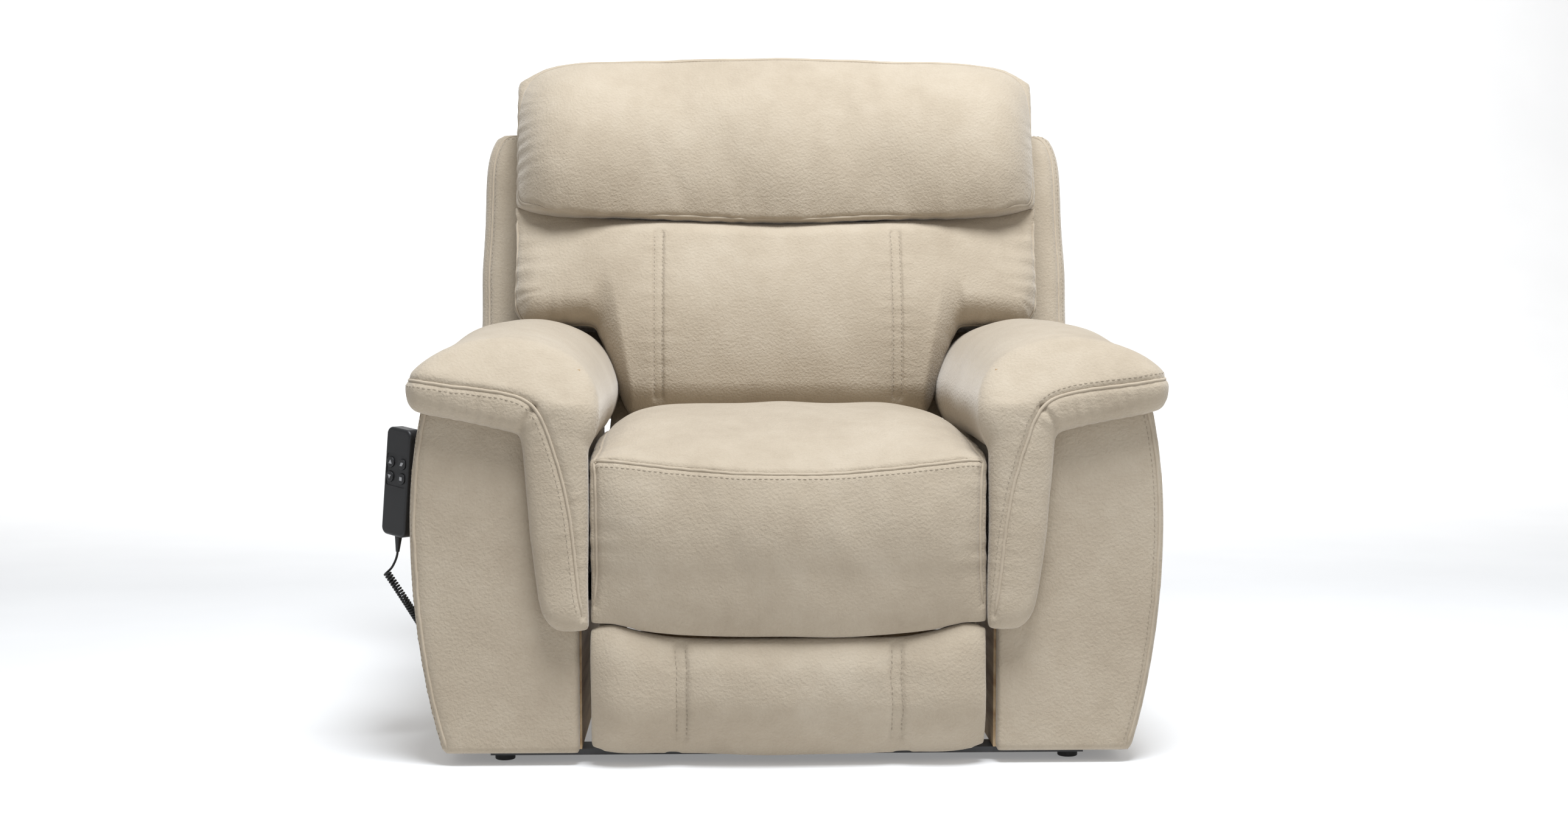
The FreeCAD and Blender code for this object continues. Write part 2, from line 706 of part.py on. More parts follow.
def lumbar_cut(x, low, front, bow, draw):
    high = crease_at(x) - 4
    return outline(
        [
            (front, low + draw, 0),
            (back_face, low + 6 + draw, 0),
            (back_face, high - 4 - draw, 0),
            (front, high - draw, bow),
        ],
        at_x(x),
    )


lumbar_low = 152.0
shoulder = 320.0        # lower edge of the cushion's side panels, just over the arms
neck = pad_in - 6.0
mid_cuts = [(-seam_lumbar, 46.0), (-seam_lumbar / 2, 54.0), (seam_lumbar / 2, 54.0), (seam_lumbar, 46.0)]
lumbar = loft([lumbar_cut(x, lumbar_low, -70.0, bow, 0.0) for x, bow in mid_cuts])
wing_in = loft(
    [
        lumbar_cut(seam_lumbar, lumbar_low, -70.0, 46.0, 0.0),
        lumbar_cut((seam_lumbar + neck) / 2, lumbar_low, -68.0, 46.0, 0.0),
        lumbar_cut(neck, lumbar_low + 6, -60.0, 34.0, 0.0),
    ]
)
wing_out = loft(
    [
        lumbar_cut(neck, shoulder + 8, -62.0, 26.0, 0.0),
        lumbar_cut((neck + back_half) / 2, shoulder + 4, -62.0, 28.0, 0.0),
        lumbar_cut(back_half - 22, shoulder, -54.0, 20.0, 0.0),
        lumbar_cut(back_half, shoulder + 8, -42.0, 6.0, 4.0),
    ]
)
save_back("lumbar_cushion", lumbar.fuse(pair(wing_in) + pair(wing_out)))


def head_cut(x, front, top, bow, draw):
    low = crease_at(x)
    high = head_top - 26.0 * from_mid(x, back_half)
    return outline(
        [
            (front, low + draw, 0),
            (back_face, low + 4 + draw, 0),
            (back_face, high - 10 - draw, 4.0),
            (top, high - draw, bow),
        ],
        at_x(x),
    )


def head_roll(x, depth, draw):
    high = head_top - 26.0 * from_mid(x, back_half) - 12 - draw
    low = shell_top + 6.0
    return outline(
        [
            (back_face, low, 0),
            (depth, low, 6.0),
            (depth - 6, high - 16, 10.0),
            (back_face, high, 0),
        ],
        at_x(x),
    )


head_half = [
    (-1.0, -46.0, -34.0, 8.0, 10.0),
    (-0.94, -78.0, -44.0, 32.0, 2.0),
    (-0.5, -92.0, -50.0, 44.0, 0.0),
]
head_cuts = head_half + [(0.0, -94.0, -50.0, 46.0, 0.0)]
head_cuts += [(-s, f, t, b, d) for s, f, t, b, d in reversed(head_half)]
head = loft([head_cut(back_half * s, f, t, b, d) for s, f, t, b, d in head_cuts])
roll_cuts = [(-0.99, 38.0, 8.0), (-0.9, 66.0, 2.0), (0.0, 72.0, 0.0), (0.9, 66.0, 2.0), (0.99, 38.0, 8.0)]
head_rear = loft([head_roll(back_half * s, depth, draw) for s, depth, draw in roll_cuts])
save_back("headrest_cushion", head.fuse(head_rear))

wing_low = 178.0
wing_x = stile_x[1] + 4.0


def wing_cut(z, out, draw):
    face = frame_t + 6.0 + draw
    return outline(
        [
            (wing_x, face, 3.0),
            (out - 26, face, 4.0),
            (out, face + 26, 3.0),
            (out, panel_rear - 24 - draw, 4.0),
            (out - 18, panel_rear - draw, 2.0),
            (wing_x, panel_rear - draw, 0),
        ],
        at_z(z),
    )


wing_rise = shell_top - wing_low
wing = loft(
    [
        wing_cut(wing_low, shell_half - 10, 9.0),
        wing_cut(wing_low + 0.05 * wing_rise, shell_half - 1, 2.0),
        wing_cut(wing_low + 0.25 * wing_rise, shell_half + 2, 0.0),
        wing_cut(wing_low + 0.5 * wing_rise, shell_half + 2, 0.0),
        wing_cut(wing_low + 0.75 * wing_rise, shell_half - 2, 0.0),
        wing_cut(wing_low + 0.95 * wing_rise, shell_half - 10, 2.0),
        wing_cut(shell_top, shell_half - 20, 10.0),
    ]
)
save_back("right_back_wing", mirrored(wing))
save_back("left_back_wing", wing)


def border_cut(x):
    return outline(
        [
            (frame_t + gap, shell_top - 46, 0),
            (panel_rear, shell_top - 46, 0),
            (panel_rear, shell_top - 18, 6.0),
            (panel_rear - 18, shell_top, 3.0),
            (frame_t + 12.0, shell_top, 5.0),
            (frame_t + gap, shell_top - 14, 0),
        ],
        at_x(x),
    )


save_back("back_top_border", loft([border_cut(-wing_x), border_cut(wing_x)]))
low_half = stile_x[1]
rear_panel = slab(
    [
        (-low_half, 40.0, 0),
        (low_half, 40.0, 0),
        (low_half, wing_low + 14, 0),
        (shell_half - 30, wing_low + 14, 0),
        (shell_half - 34, shell_top - 16, 0),
        (-shell_half + 34, shell_top - 16, 0),
        (-shell_half + 30, wing_low + 14, 0),
        (-low_half, wing_low + 14, 0),
    ],
    lambda x, z: V(x, panel_rear + 4.5, z),
    V(0, rear_t - 4.5, 0),
)
save_back("back_rear_panel", rear_panel)

# Handset, drawn flat with its face to -Y and then turned, leant and set in place


def hang(shape):
    shape = shape.copy()
    shape.rotate(V(0, 0, 0), V(0, 1, 0), hand_lean)
    shape.rotate(V(0, 0, 0), V(0, 0, 1), -hand_turn)
    shape.translate(hand_mid)
    return shape


def hang_point(p):
    p = FreeCAD.Rotation(V(0, 1, 0), hand_lean).multVec(p)
    return hand_mid + FreeCAD.Rotation(V(0, 0, 1), -hand_turn).multVec(p)


def hang_way(p):
    return hang_point(p) - hand_mid


half_w = hand_w / 2
half_l = hand_l / 2
half_t = hand_t / 2
button_x = 12.5
button_z = (28.0, 7.0)
well_z = (button_z[1] - 13.0, button_z[0] + 13.0)
shell_gap = 0.4


def hand_half(y, face):
    # One half of the case: round corners seen from the front, then a soft edge round its outer face
    half = box((-half_w, half_w), y, (-half_l, half_l))
    half = half.makeFillet(corner_r, [e for e in half.Edges if e.BoundBox.YLength > 1])
    return half.makeFillet(edge_r, [e for e in half.Edges if abs(e.BoundBox.Center.y - face) < 0.1])


corner_r = 11.0
edge_r = 4.0
face_half = hand_half((-half_t, -shell_gap / 2), -half_t)
back_body = hand_half((shell_gap / 2, half_t), half_t)
well = box((-half_w + 5, half_w - 5), (-half_t - 1, -half_t + 0.8), well_z)
face_half = face_half.cut(well.makeFillet(4.0, [e for e in well.Edges if abs(e.Curve.Direction.y) > 0.9]))
spots = [("up", -1, 0), ("recline", 1, 0), ("down", -1, 1), ("close", 1, 1)]
button_y = (-half_t - 1.4, -half_t + 5.6)
for name, side, row in spots:
    x = side * button_x
    z = button_z[row]
    face_half = face_half.cut(rod_y(x, (-half_t - 2, button_y[1] + 2.4), z, button_r + button_gap))
    button = rod_y(x, button_y, z, button_r)
    button = button.makeFillet(0.9, [e for e in button.Edges if e.BoundBox.YMax < button_y[0] + 0.1])
    save("handset_button_" + name, hang(button))
save("handset_front_shell", hang(face_half))

# A pocket on the rear shell hangs on the tongue of a hook on the arm
tongue_t = 3.0
tongue_x = 10.0
pocket = (half_t + 2.2, half_t + 2.2 + tongue_t + 0.8)
clip_z = (8.0, 52.0)
clip = box((-tongue_x - 4, tongue_x + 4), (half_t - 1, pocket[1] + 2.4), clip_z)
clip = clip.cut(box((-tongue_x - 0.4, tongue_x + 0.4), pocket, (clip_z[0] - 8.0, clip_z[1] - 4.0)))
save("handset_rear_shell", hang(back_body.fuse(clip).removeSplitter()))
tongue = hang(box((-tongue_x, tongue_x), (pocket[0] + 0.4, pocket[1] - 0.4), (-8.0, 47.6)))
stem = hang(box((-tongue_x, tongue_x), (pocket[0] + 0.4, pocket[1] + 40.0), (-18.0, -6.0)))
seat_cutter = mirrored(side_block)
seat_cutter.translate(V(-gap, 0, 0))
hook_y = (hand_mid.y + 4, hand_mid.y + 62)
hook_pad = box((-half_width - 5.0, -half_width + 8.0), hook_y, (hand_mid.z - 40, hand_mid.z + 16))
hook_pad = hook_pad.makeFillet(3.0, [e for e in hook_pad.Edges if e.BoundBox.XLength > 1])
hook_body = tongue.fuse([stem, hook_pad]).cut(seat_cutter)
save("handset_hook", hook_body.removeSplitter())

# Strain relief and curly cord
relief_l = 24.0
relief = Part.makeCone(5.5, cord_r + 1.0, relief_l, V(0, 0, -half_l), V(0, 0, -1))
relief = relief.cut(Part.makeCylinder(cord_r, relief_l, V(0, 0, -half_l - relief_l / 2), V(0, 0, -1)))
save("handset_strain_relief", hang(relief))


def unit(v):
    return v * (1.0 / v.Length)


def one_arc(a, t, b):
    # Arc from a along t to b, as its three points
    chord = b - a
    side = chord - t * chord.dot(t)
    if side.Length < 1e-6:
        return Part.LineSegment(a, b).toShape()
    side = unit(side)
    r = chord.dot(chord) / (2 * chord.dot(side))
    mid = a + side * r
    return Part.Arc(a, mid + unit((a + b) * 0.5 - mid) * r, b).toShape()


def biarc(a, ta, b, tb):
    # Two arcs that leave a along ta and reach b along tb
    v = b - a
    t = ta + tb
    k = 2 * (1 - ta.dot(tb))
    root = math.sqrt(v.dot(t) ** 2 + k * v.dot(v))
    d = v.dot(v) / (2 * v.dot(t)) if k < 1e-9 else (root - v.dot(t)) / k
    m = (a + b + (ta - tb) * d) * 0.5
    second = one_arc(b, tb * -1, m)
    return [one_arc(a, ta, m), second]


coil_a = V(-half_width - 55.0, -262.0, 246.0)
coil_b = V(-half_width - 23.0, -250.0, 192.0)
coil_c = V(-half_width - 4.0, -212.0, 146.0)
circle = Part.Arc(coil_a, coil_b, coil_c).toShape().Curve
axis_c = circle.Center
axis_r = circle.Radius
e1 = unit(coil_a - axis_c)
normal = unit((coil_b - coil_a).cross(coil_c - coil_b))
e2 = normal.cross(e1)
sweep = math.atan2((coil_c - axis_c).dot(e2), (coil_c - axis_c).dot(e1))
turns = round(axis_r * sweep / coil_pitch * 4) / 4
print("coil turns", turns, "axis radius", axis_r)


def coil_point(s):
    # s runs from 0 to 1 along the coil; the wire circles the bent axis
    out = e1 * math.cos(sweep * s) + e2 * math.sin(sweep * s)
    phase = 2 * math.pi * turns * s + math.radians(coil_start)
    return axis_c + out * (axis_r + coil_r * math.cos(phase)) + normal * (coil_r * math.sin(phase))


def coil_way(s):
    step = 1e-4 / turns
    return unit(coil_point(s + step) - coil_point(s - step))


steps = int(turns * 4)
cord_top = hang_point(V(0, 0, -half_l - relief_l / 2))
cord_out = hang_point(V(0, 0, -half_l - relief_l - 2 * cord_r))
down = hang_way(V(0, 0, -1))
lead = coil_point(0)
gland_z = 118.0
gland_y = -176.0
low_r = (lower_in ** 2 + (full_z - arm_bottom) ** 2) / (2 * lower_in)
slant = math.asin((full_z - gland_z) / low_r)
gland_out = V(-math.cos(slant), 0, -math.sin(slant))
gland_foot = V(-(half_width - low_r + low_r * math.cos(slant)), gland_y, gland_z)
gland_h = 8.0
gland_face = gland_foot + gland_out * gland_h
cord_end = gland_face + gland_out * (2 * cord_r)
edges = [Part.LineSegment(cord_top, cord_out).toShape()]
edges += biarc(cord_out, down, lead, coil_way(0))
for i in range(steps):
    a = i / steps
    b = (i + 1) / steps
    edges += biarc(coil_point(a), coil_way(a), coil_point(b), coil_way(b))
edges += biarc(coil_point(1), coil_way(1), cord_end, gland_out * -1)
edges.append(Part.LineSegment(cord_end, gland_face - gland_out * (gland_h / 2)).toShape())
for e in (edges[1], edges[2], edges[-3], edges[-2]):
    print("cord bend radius", getattr(e.Curve, "Radius", "straight"))
spine = Part.Wire(Part.__sortEdges__(edges))
ring = Part.Wire([Part.Circle(cord_top, down, cord_r).toShape()])
cord = spine.makePipeShell([ring], True, False)
save("handset_cord", cord)
gland = Part.makeCylinder(8.0, gland_h + 6.0, gland_foot - gland_out * 6.0, gland_out).cut(seat_cutter)
gland = gland.cut(Part.makeCylinder(cord_r, gland_h, gland_face - gland_out * (gland_h / 2), gland_out))
save("cord_gland", gland)
path = []
for e in spine.Edges:
    path += e.discretize(6)[:-1]
near = 1e9
for i, p in enumerate(path):
    run = 0.0
    for j in range(i + 1, len(path)):
        run += (path[j] - path[j - 1]).Length
        if run > 4 * coil_r:
            near = min(near, (path[j] - p).Length)
print("cord length", spine.Length, "least gap to itself", near - 2 * cord_r)
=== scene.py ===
import json
import math
import bmesh
import bpy
import numpy as np
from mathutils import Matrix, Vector
from mathutils.bvhtree import BVHTree


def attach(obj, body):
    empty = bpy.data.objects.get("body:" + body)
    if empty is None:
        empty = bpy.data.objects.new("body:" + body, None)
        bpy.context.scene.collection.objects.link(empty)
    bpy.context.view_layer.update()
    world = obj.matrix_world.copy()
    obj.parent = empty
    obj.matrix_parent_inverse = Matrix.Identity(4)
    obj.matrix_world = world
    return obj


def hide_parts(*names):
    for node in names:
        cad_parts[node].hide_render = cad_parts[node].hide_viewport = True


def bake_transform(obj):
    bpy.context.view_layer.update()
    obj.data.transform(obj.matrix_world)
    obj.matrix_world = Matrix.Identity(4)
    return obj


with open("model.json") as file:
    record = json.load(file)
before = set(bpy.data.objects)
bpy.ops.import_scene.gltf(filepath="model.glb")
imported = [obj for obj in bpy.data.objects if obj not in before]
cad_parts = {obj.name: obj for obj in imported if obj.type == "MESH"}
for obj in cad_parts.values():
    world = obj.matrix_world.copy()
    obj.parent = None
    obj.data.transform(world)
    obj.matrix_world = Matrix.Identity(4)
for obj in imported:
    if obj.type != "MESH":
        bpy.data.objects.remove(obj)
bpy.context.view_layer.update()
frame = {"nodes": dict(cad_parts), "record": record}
nodes = frame["nodes"]
scene = bpy.context.scene
print("frame loaded,", len(nodes), "nodes")

# Seam routes are written in mm on the chair's own middle plane, as in the CAD source
rowShift = np.array([32.475838, 19.519354, 0.0])
hinge = np.array([0.0, 140.0, 290.0])
backTilt = math.radians(13.0)
backHalf, seamLumbar = 428.0, 192.0


def toRow(points):
    return (np.asarray(points, float) + rowShift) / 1000.0


def leanBack(points):
    # The back is drawn upright over its hinge, then turned back by its tilt
    p = np.asarray(points, float)
    c, s = math.cos(backTilt), math.sin(backTilt)
    y = p[..., 1] * c + p[..., 2] * s
    z = -p[..., 1] * s + p[..., 2] * c
    return np.stack([p[..., 0], y, z], -1) + hinge


def standUp(points):
    # Undoes leanBack
    q = np.asarray(points, float) - hinge
    c, s = math.cos(backTilt), math.sin(backTilt)
    return np.stack([q[..., 0], q[..., 1] * c - q[..., 2] * s, q[..., 1] * s + q[..., 2] * c], -1)


def ease(t):
    # Smooth step from 0 to 1
    t = np.clip(t, 0.0, 1.0)
    return t * t * (3 - 2 * t)


# Materials
def newMaterial(name):
    m = bpy.data.materials.new(name)
    m.use_nodes = True
    return m, m.node_tree.nodes, m.node_tree.links, m.node_tree.nodes["Principled BSDF"]


def noiseNode(ns, ls, coords, scale, detail=2.0, rough=0.5):
    n = ns.new("ShaderNodeTexNoise")
    n.inputs["Scale"].default_value = scale
    n.inputs["Detail"].default_value = detail
    n.inputs["Roughness"].default_value = rough
    ls.new(coords, n.inputs["Vector"])
    return n.outputs["Fac"]


def rampNode(ns, ls, fac, stops):
    r = ns.new("ShaderNodeValToRGB")
    while len(r.color_ramp.elements) < len(stops):
        r.color_ramp.elements.new(0.5)
    for e, (place, colour) in zip(r.color_ramp.elements, stops):
        e.position = place
        e.color = (*colour, 1.0)
    ls.new(fac, r.inputs["Fac"])
    return r.outputs["Color"]


def mathNode(ns, ls, kind, a, b):
    n = ns.new("ShaderNodeMath")
    n.operation = kind
    for i, v in enumerate((a, b)):
        if isinstance(v, (int, float)):
            n.inputs[i].default_value = v
        else:
            ls.new(v, n.inputs[i])
    return n.outputs[0]


def bumpNode(ns, ls, height, strength, distance, under=None):
    b = ns.new("ShaderNodeBump")
    b.inputs["Strength"].default_value = strength
    b.inputs["Distance"].default_value = distance
    ls.new(height, b.inputs["Height"])
    if under is not None:
        ls.new(under, b.inputs["Normal"])
    return b.outputs["Normal"]


suedeLook = {
    "dark": (0.345, 0.285, 0.212), "mid": (0.395, 0.332, 0.252), "pale": (0.44, 0.377, 0.294),
    "cloud": 6.0, "brush": 34.0, "grain": 260.0, "nap": 800.0,
    "cloudShare": 0.55, "brushShare": 0.3, "grainShare": 0.15,
    "bump": 0.9, "depth": 0.0014, "napBump": 0.3, "napDepth": 0.0003,
    "rough": 0.92, "specular": 0.18, "sheen": 0.35, "sheenRough": 0.45, "sheenTint": (1.0, 0.97, 0.93),
}


def suede(name, look, shade=1.0):
    # Napped cloth: broad clouds and brush marks in colour, a pebbled grain and a fine nap in the bump
    m, ns, ls, bsdf = newMaterial(name)
    xyz = ns.new("ShaderNodeTexCoord").outputs["Object"]
    cloud = noiseNode(ns, ls, xyz, look["cloud"], 3.0, 0.6)
    brush = noiseNode(ns, ls, xyz, look["brush"], 4.0, 0.62)
    grain = noiseNode(ns, ls, xyz, look["grain"], 2.0, 0.55)
    nap = noiseNode(ns, ls, xyz, look["nap"], 1.0, 0.5)
    clouds = mathNode(ns, ls, "MULTIPLY", cloud, look["cloudShare"])
    strokes = mathNode(ns, ls, "MULTIPLY", brush, look["brushShare"])
    specks = mathNode(ns, ls, "MULTIPLY", grain, look["grainShare"])
    tone = mathNode(ns, ls, "ADD", clouds, strokes)
    tone = mathNode(ns, ls, "ADD", tone, specks)
    stops = []
    for place, key in ((0.3, "dark"), (0.5, "mid"), (0.7, "pale")):
        stops.append((place, tuple(c * shade for c in look[key])))
    ls.new(rampNode(ns, ls, tone, stops), bsdf.inputs["Base Color"])
    bsdf.inputs["Roughness"].default_value = look["rough"]
    bsdf.inputs["Specular IOR Level"].default_value = look["specular"]
    bsdf.inputs["Sheen Weight"].default_value = look["sheen"]
    bsdf.inputs["Sheen Roughness"].default_value = look["sheenRough"]
    bsdf.inputs["Sheen Tint"].default_value = (*look["sheenTint"], 1.0)
    coarse = bumpNode(ns, ls, grain, look["bump"], look["depth"])
    ls.new(bumpNode(ns, ls, nap, look["napBump"], look["napDepth"], coarse), bsdf.inputs["Normal"])
    return m


def moulded(name, colour, rough, grainScale, metal=0.0, depth=0.0002, vary=0.25):
    # Moulded or coated surface: small colour and gloss changes over a fine grain
    m, ns, ls, bsdf = newMaterial(name)
    xyz = ns.new("ShaderNodeTexCoord").outputs["Object"]
    wear = noiseNode(ns, ls, xyz, 14.0, 4.0, 0.6)
    grain = noiseNode(ns, ls, xyz, grainScale, 2.0, 0.5)
    stops = [(0.3, tuple(c * (1 - vary) for c in colour)), (0.7, tuple(c * (1 + vary) for c in colour))]
    ls.new(rampNode(ns, ls, wear, stops), bsdf.inputs["Base Color"])
    gloss = mathNode(ns, ls, "ADD", rough - 0.06, mathNode(ns, ls, "MULTIPLY", wear, 0.12))
    ls.new(gloss, bsdf.inputs["Roughness"])
    bsdf.inputs["Metallic"].default_value = metal
    ls.new(bumpNode(ns, ls, grain, 0.35, depth), bsdf.inputs["Normal"])
    return m


def plyWood(name):
    # Pale board with long bands along Y
    m, ns, ls, bsdf = newMaterial(name)
    xyz = ns.new("ShaderNodeTexCoord").outputs["Object"]
    stretch = ns.new("ShaderNodeMapping")
    stretch.inputs["Scale"].default_value = (60.0, 4.0, 60.0)
    ls.new(xyz, stretch.inputs["Vector"])
    band = noiseNode(ns, ls, stretch.outputs["Vector"], 1.0, 5.0, 0.6)
    stops = [(0.3, (0.36, 0.22, 0.11)), (0.5, (0.52, 0.36, 0.2)), (0.7, (0.62, 0.46, 0.28))]
    ls.new(rampNode(ns, ls, band, stops), bsdf.inputs["Base Color"])
    bsdf.inputs["Roughness"].default_value = 0.68
    ls.new(bumpNode(ns, ls, band, 0.3, 0.0004), bsdf.inputs["Normal"])
    return m


def wovenStrap(name):
    # Dark elastic webbing: fine ribs
    m, ns, ls, bsdf = newMaterial(name)
    xyz = ns.new("ShaderNodeTexCoord").outputs["Object"]
    ribs = ns.new("ShaderNodeTexWave")
    ribs.inputs["Scale"].default_value = 160.0
    ribs.inputs["Distortion"].default_value = 0.6
    ls.new(xyz, ribs.inputs["Vector"])
    stops = [(0.2, (0.03, 0.03, 0.032)), (0.8, (0.09, 0.09, 0.095))]
    ls.new(rampNode(ns, ls, ribs.outputs["Fac"], stops), bsdf.inputs["Base Color"])
    bsdf.inputs["Roughness"].default_value = 0.9
    ls.new(bumpNode(ns, ls, ribs.outputs["Fac"], 0.5, 0.0005), bsdf.inputs["Normal"])
    return m


cover = suede("beigeSuede", suedeLook)
pipeCloth = suede("pipingSuede", dict(suedeLook, bump=0.4, depth=0.0006), 1.04)
threadCloth = suede("seamThread", dict(suedeLook, grain=1500.0, bump=0.5, depth=0.0003), 0.8)
looks = {
    "frame_steel": moulded("blackCoatedSteel", (0.03, 0.03, 0.032), 0.42, 700.0, 0.0, 0.0002),
    "bright_steel": moulded("zincSteel", (0.5, 0.5, 0.51), 0.34, 500.0, 1.0, 0.0001, 0.12),
    "timber": plyWood("frameTimber"),
    "handset_plastic": moulded("handsetPlastic", (0.011, 0.011, 0.012), 0.46, 2600.0, 0.0, 0.00015),
    "motor_plastic": moulded("motorCasePlastic", (0.035, 0.035, 0.038), 0.52, 1500.0),
    "webbing": wovenStrap("elasticWebbing"),
    "feet": moulded("footRubber", (0.012, 0.012, 0.012), 0.62, 1800.0),
    "upholstery": cover,
}
for part in frame["record"]["subparts"]:
    slots = nodes[part["node"]].data.materials
    slots.clear()
    slots.append(looks[part["material_slot"]])
print("materials made")


# Mesh helpers
def addPiece(name, verts, faces, material, smooth=True):
    mesh = bpy.data.meshes.new(name)
    mesh.from_pydata(np.asarray(verts, float).reshape(-1, 3).tolist(), [], faces)
    mesh.polygons.foreach_set("use_smooth", [smooth] * len(mesh.polygons))
    mesh.materials.append(material)
    mesh.update()
    piece = bpy.data.objects.new(name, mesh)
    scene.collection.objects.link(piece)
    return piece


def gridFaces(rows, cols, wrap, start=0):
    # Quads of a grid whose rows follow each other; wrap closes each row into a ring
    i, j = np.meshgrid(np.arange(rows - 1), np.arange(cols if wrap else cols - 1), indexing="ij")
    k = (j + 1) % cols
    quads = np.stack([i * cols + j, i * cols + k, (i + 1) * cols + k, (i + 1) * cols + j], -1)
    return (quads.reshape(-1, 4) + start).tolist()


def shut(grid):
    # Faces of a run of rings with both ends closed
    rows, sides = grid.shape[:2]
    ends = [list(range(sides))[::-1], list(range((rows - 1) * sides, rows * sides))]
    return gridFaces(rows, sides, True) + ends


def turnOutward(obj):
    # Makes all faces of a closed piece look outward
    bm = bmesh.new()
    bm.from_mesh(obj.data)
    bmesh.ops.recalc_face_normals(bm, faces=bm.faces)
    bm.to_mesh(obj.data)
    bm.free()


def readPoints(mesh):
    co = np.empty(len(mesh.vertices) * 3)
    mesh.vertices.foreach_get("co", co)
    return co.reshape(-1, 3)


def writePoints(mesh, co):
    mesh.vertices.foreach_set("co", np.ascontiguousarray(co, np.float32).ravel())
    mesh.update()


def readNormals(mesh):
    n = np.empty(len(mesh.vertices) * 3)
    mesh.vertices.foreach_get("normal", n)
    return n.reshape(-1, 3)


def settle(obj):
    # Applies all modifiers to the mesh
    bpy.context.view_layer.update()
    done = bpy.data.meshes.new_from_object(obj.evaluated_get(bpy.context.evaluated_depsgraph_get()))
    old = obj.data
    obj.modifiers.clear()
    obj.data = done
    bpy.data.meshes.remove(old)


def fromSolids(name, nodeNames, voxel, smoothing):
    # Soft copy of CAD solids: merged, rebuilt as an even grid and eased
    bm = bmesh.new()
    for n in nodeNames:
        bm.from_mesh(nodes[n].data)
    bmesh.ops.remove_doubles(bm, verts=bm.verts, dist=1e-6)
    mesh = bpy.data.meshes.new(name)
    bm.to_mesh(mesh)
    bm.free()
    obj = bpy.data.objects.new(name, mesh)
    scene.collection.objects.link(obj)
    return evenGrid(obj, voxel, smoothing)


def evenGrid(obj, voxel, smoothing):
    rebuild = obj.modifiers.new("rebuild", "REMESH")
    rebuild.mode = "VOXEL"
    rebuild.voxel_size = voxel
    soften = obj.modifiers.new("soften", "SMOOTH")
    soften.factor = 0.5
    soften.iterations = smoothing
    settle(obj)
    return obj


clothLook = {
    "frames": 20, "quality": 4, "mass": 0.3, "tension": 12.0, "compression": 12.0, "shear": 6.0,
    "bending": 0.8, "shrink": -0.01,
}


def puff(obj, pressure, cap, held):
    # Blows the closed cover up as cloth and gives back each point's move; held marks the points that stay
    start = readPoints(obj.data)
    group = obj.vertex_groups.new(name="held")
    group.add(np.nonzero(held)[0].tolist(), 1.0, "REPLACE")
    cloth = obj.modifiers.new("puff", "CLOTH")
    cloth.settings.quality = clothLook["quality"]
    cloth.settings.mass = clothLook["mass"]
    cloth.settings.tension_stiffness = clothLook["tension"]
    cloth.settings.compression_stiffness = clothLook["compression"]
    cloth.settings.shear_stiffness = clothLook["shear"]
    cloth.settings.bending_stiffness = clothLook["bending"]
    cloth.settings.shrink_min = clothLook["shrink"]
    cloth.settings.use_pressure = True
    cloth.settings.uniform_pressure_force = pressure
    cloth.settings.effector_weights.gravity = 0.0
    cloth.settings.vertex_group_mass = "held"
    cloth.collision_settings.use_collision = False
    cloth.point_cache.frame_start = 1
    cloth.point_cache.frame_end = clothLook["frames"]
    for f in range(1, clothLook["frames"] + 1):
        scene.frame_set(f)
    moved = readPoints(obj.evaluated_get(bpy.context.evaluated_depsgraph_get()).data) - start
    scene.frame_set(1)
    # Moves level off at the cap: cap times the hyperbolic tangent of the move over the cap
    size = np.linalg.norm(moved, axis=1, keepdims=True) + 1e-9
    return moved * (cap * np.tanh(size / cap) / size)


def spreadMoves(points, moves, targets, cell):
    # Carries moves from coarse points to others: summed into cells, eased, and read back between cell centres
    low = targets.min(0) - 4 * cell
    shape = np.ceil((targets.max(0) - low) / cell).astype(int) + 5
    grid = np.zeros((*shape, 4))
    at = np.clip(np.round((points - low) / cell).astype(int), 0, shape - 1)
    np.add.at(grid, tuple(at.T), np.c_[moves, np.ones(len(moves))])
    for axis in (0, 1, 2) * 2:
        grid = (np.roll(grid, 1, axis) + 2 * grid + np.roll(grid, -1, axis)) / 4
    spot = (targets - low) / cell
    base = np.floor(spot).astype(int)
    part = spot - base
    total = np.zeros((len(targets), 4))
    for i in (0, 1):
        for j in (0, 1):
            for k in (0, 1):
                share = np.abs(1 - i - part[:, 0]) * np.abs(1 - j - part[:, 1]) * np.abs(1 - k - part[:, 2])
                total += share[:, None] * grid[base[:, 0] + i, base[:, 1] + j, base[:, 2] + k]
    return total[:, :3] / (total[:, 3:] + 1e-9)


def refine(obj):
    sub = obj.modifiers.new("refine", "SUBSURF")
    sub.levels = sub.render_levels = 1
    settle(obj)


def curveThrough(points, count):
    # Smooth line through the points: a cubic on each span with the neighbours' slope, then even steps
    p = np.asarray(points, float)
    ext = np.vstack([2 * p[0] - p[1], p, 2 * p[-1] - p[-2]])
    t = np.linspace(0, 1, 24, endpoint=False)[:, None, None]
    a, b, c, d = ext[:-3], ext[1:-2], ext[2:-1], ext[3:]
    square = 2 * a - 5 * b + 4 * c - d
    cube = 3 * b - a - 3 * c + d
    line = 0.5 * (2 * b + (c - a) * t + square * t ** 2 + cube * t ** 3)
    line = np.vstack([line.transpose(1, 0, 2).reshape(-1, 3), p[-1]])
    run = np.r_[0, np.cumsum(np.linalg.norm(np.diff(line, axis=0), axis=1))]
    even = np.linspace(0, run[-1], count)
    return np.stack([np.interp(even, run, line[:, k]) for k in range(3)], 1)


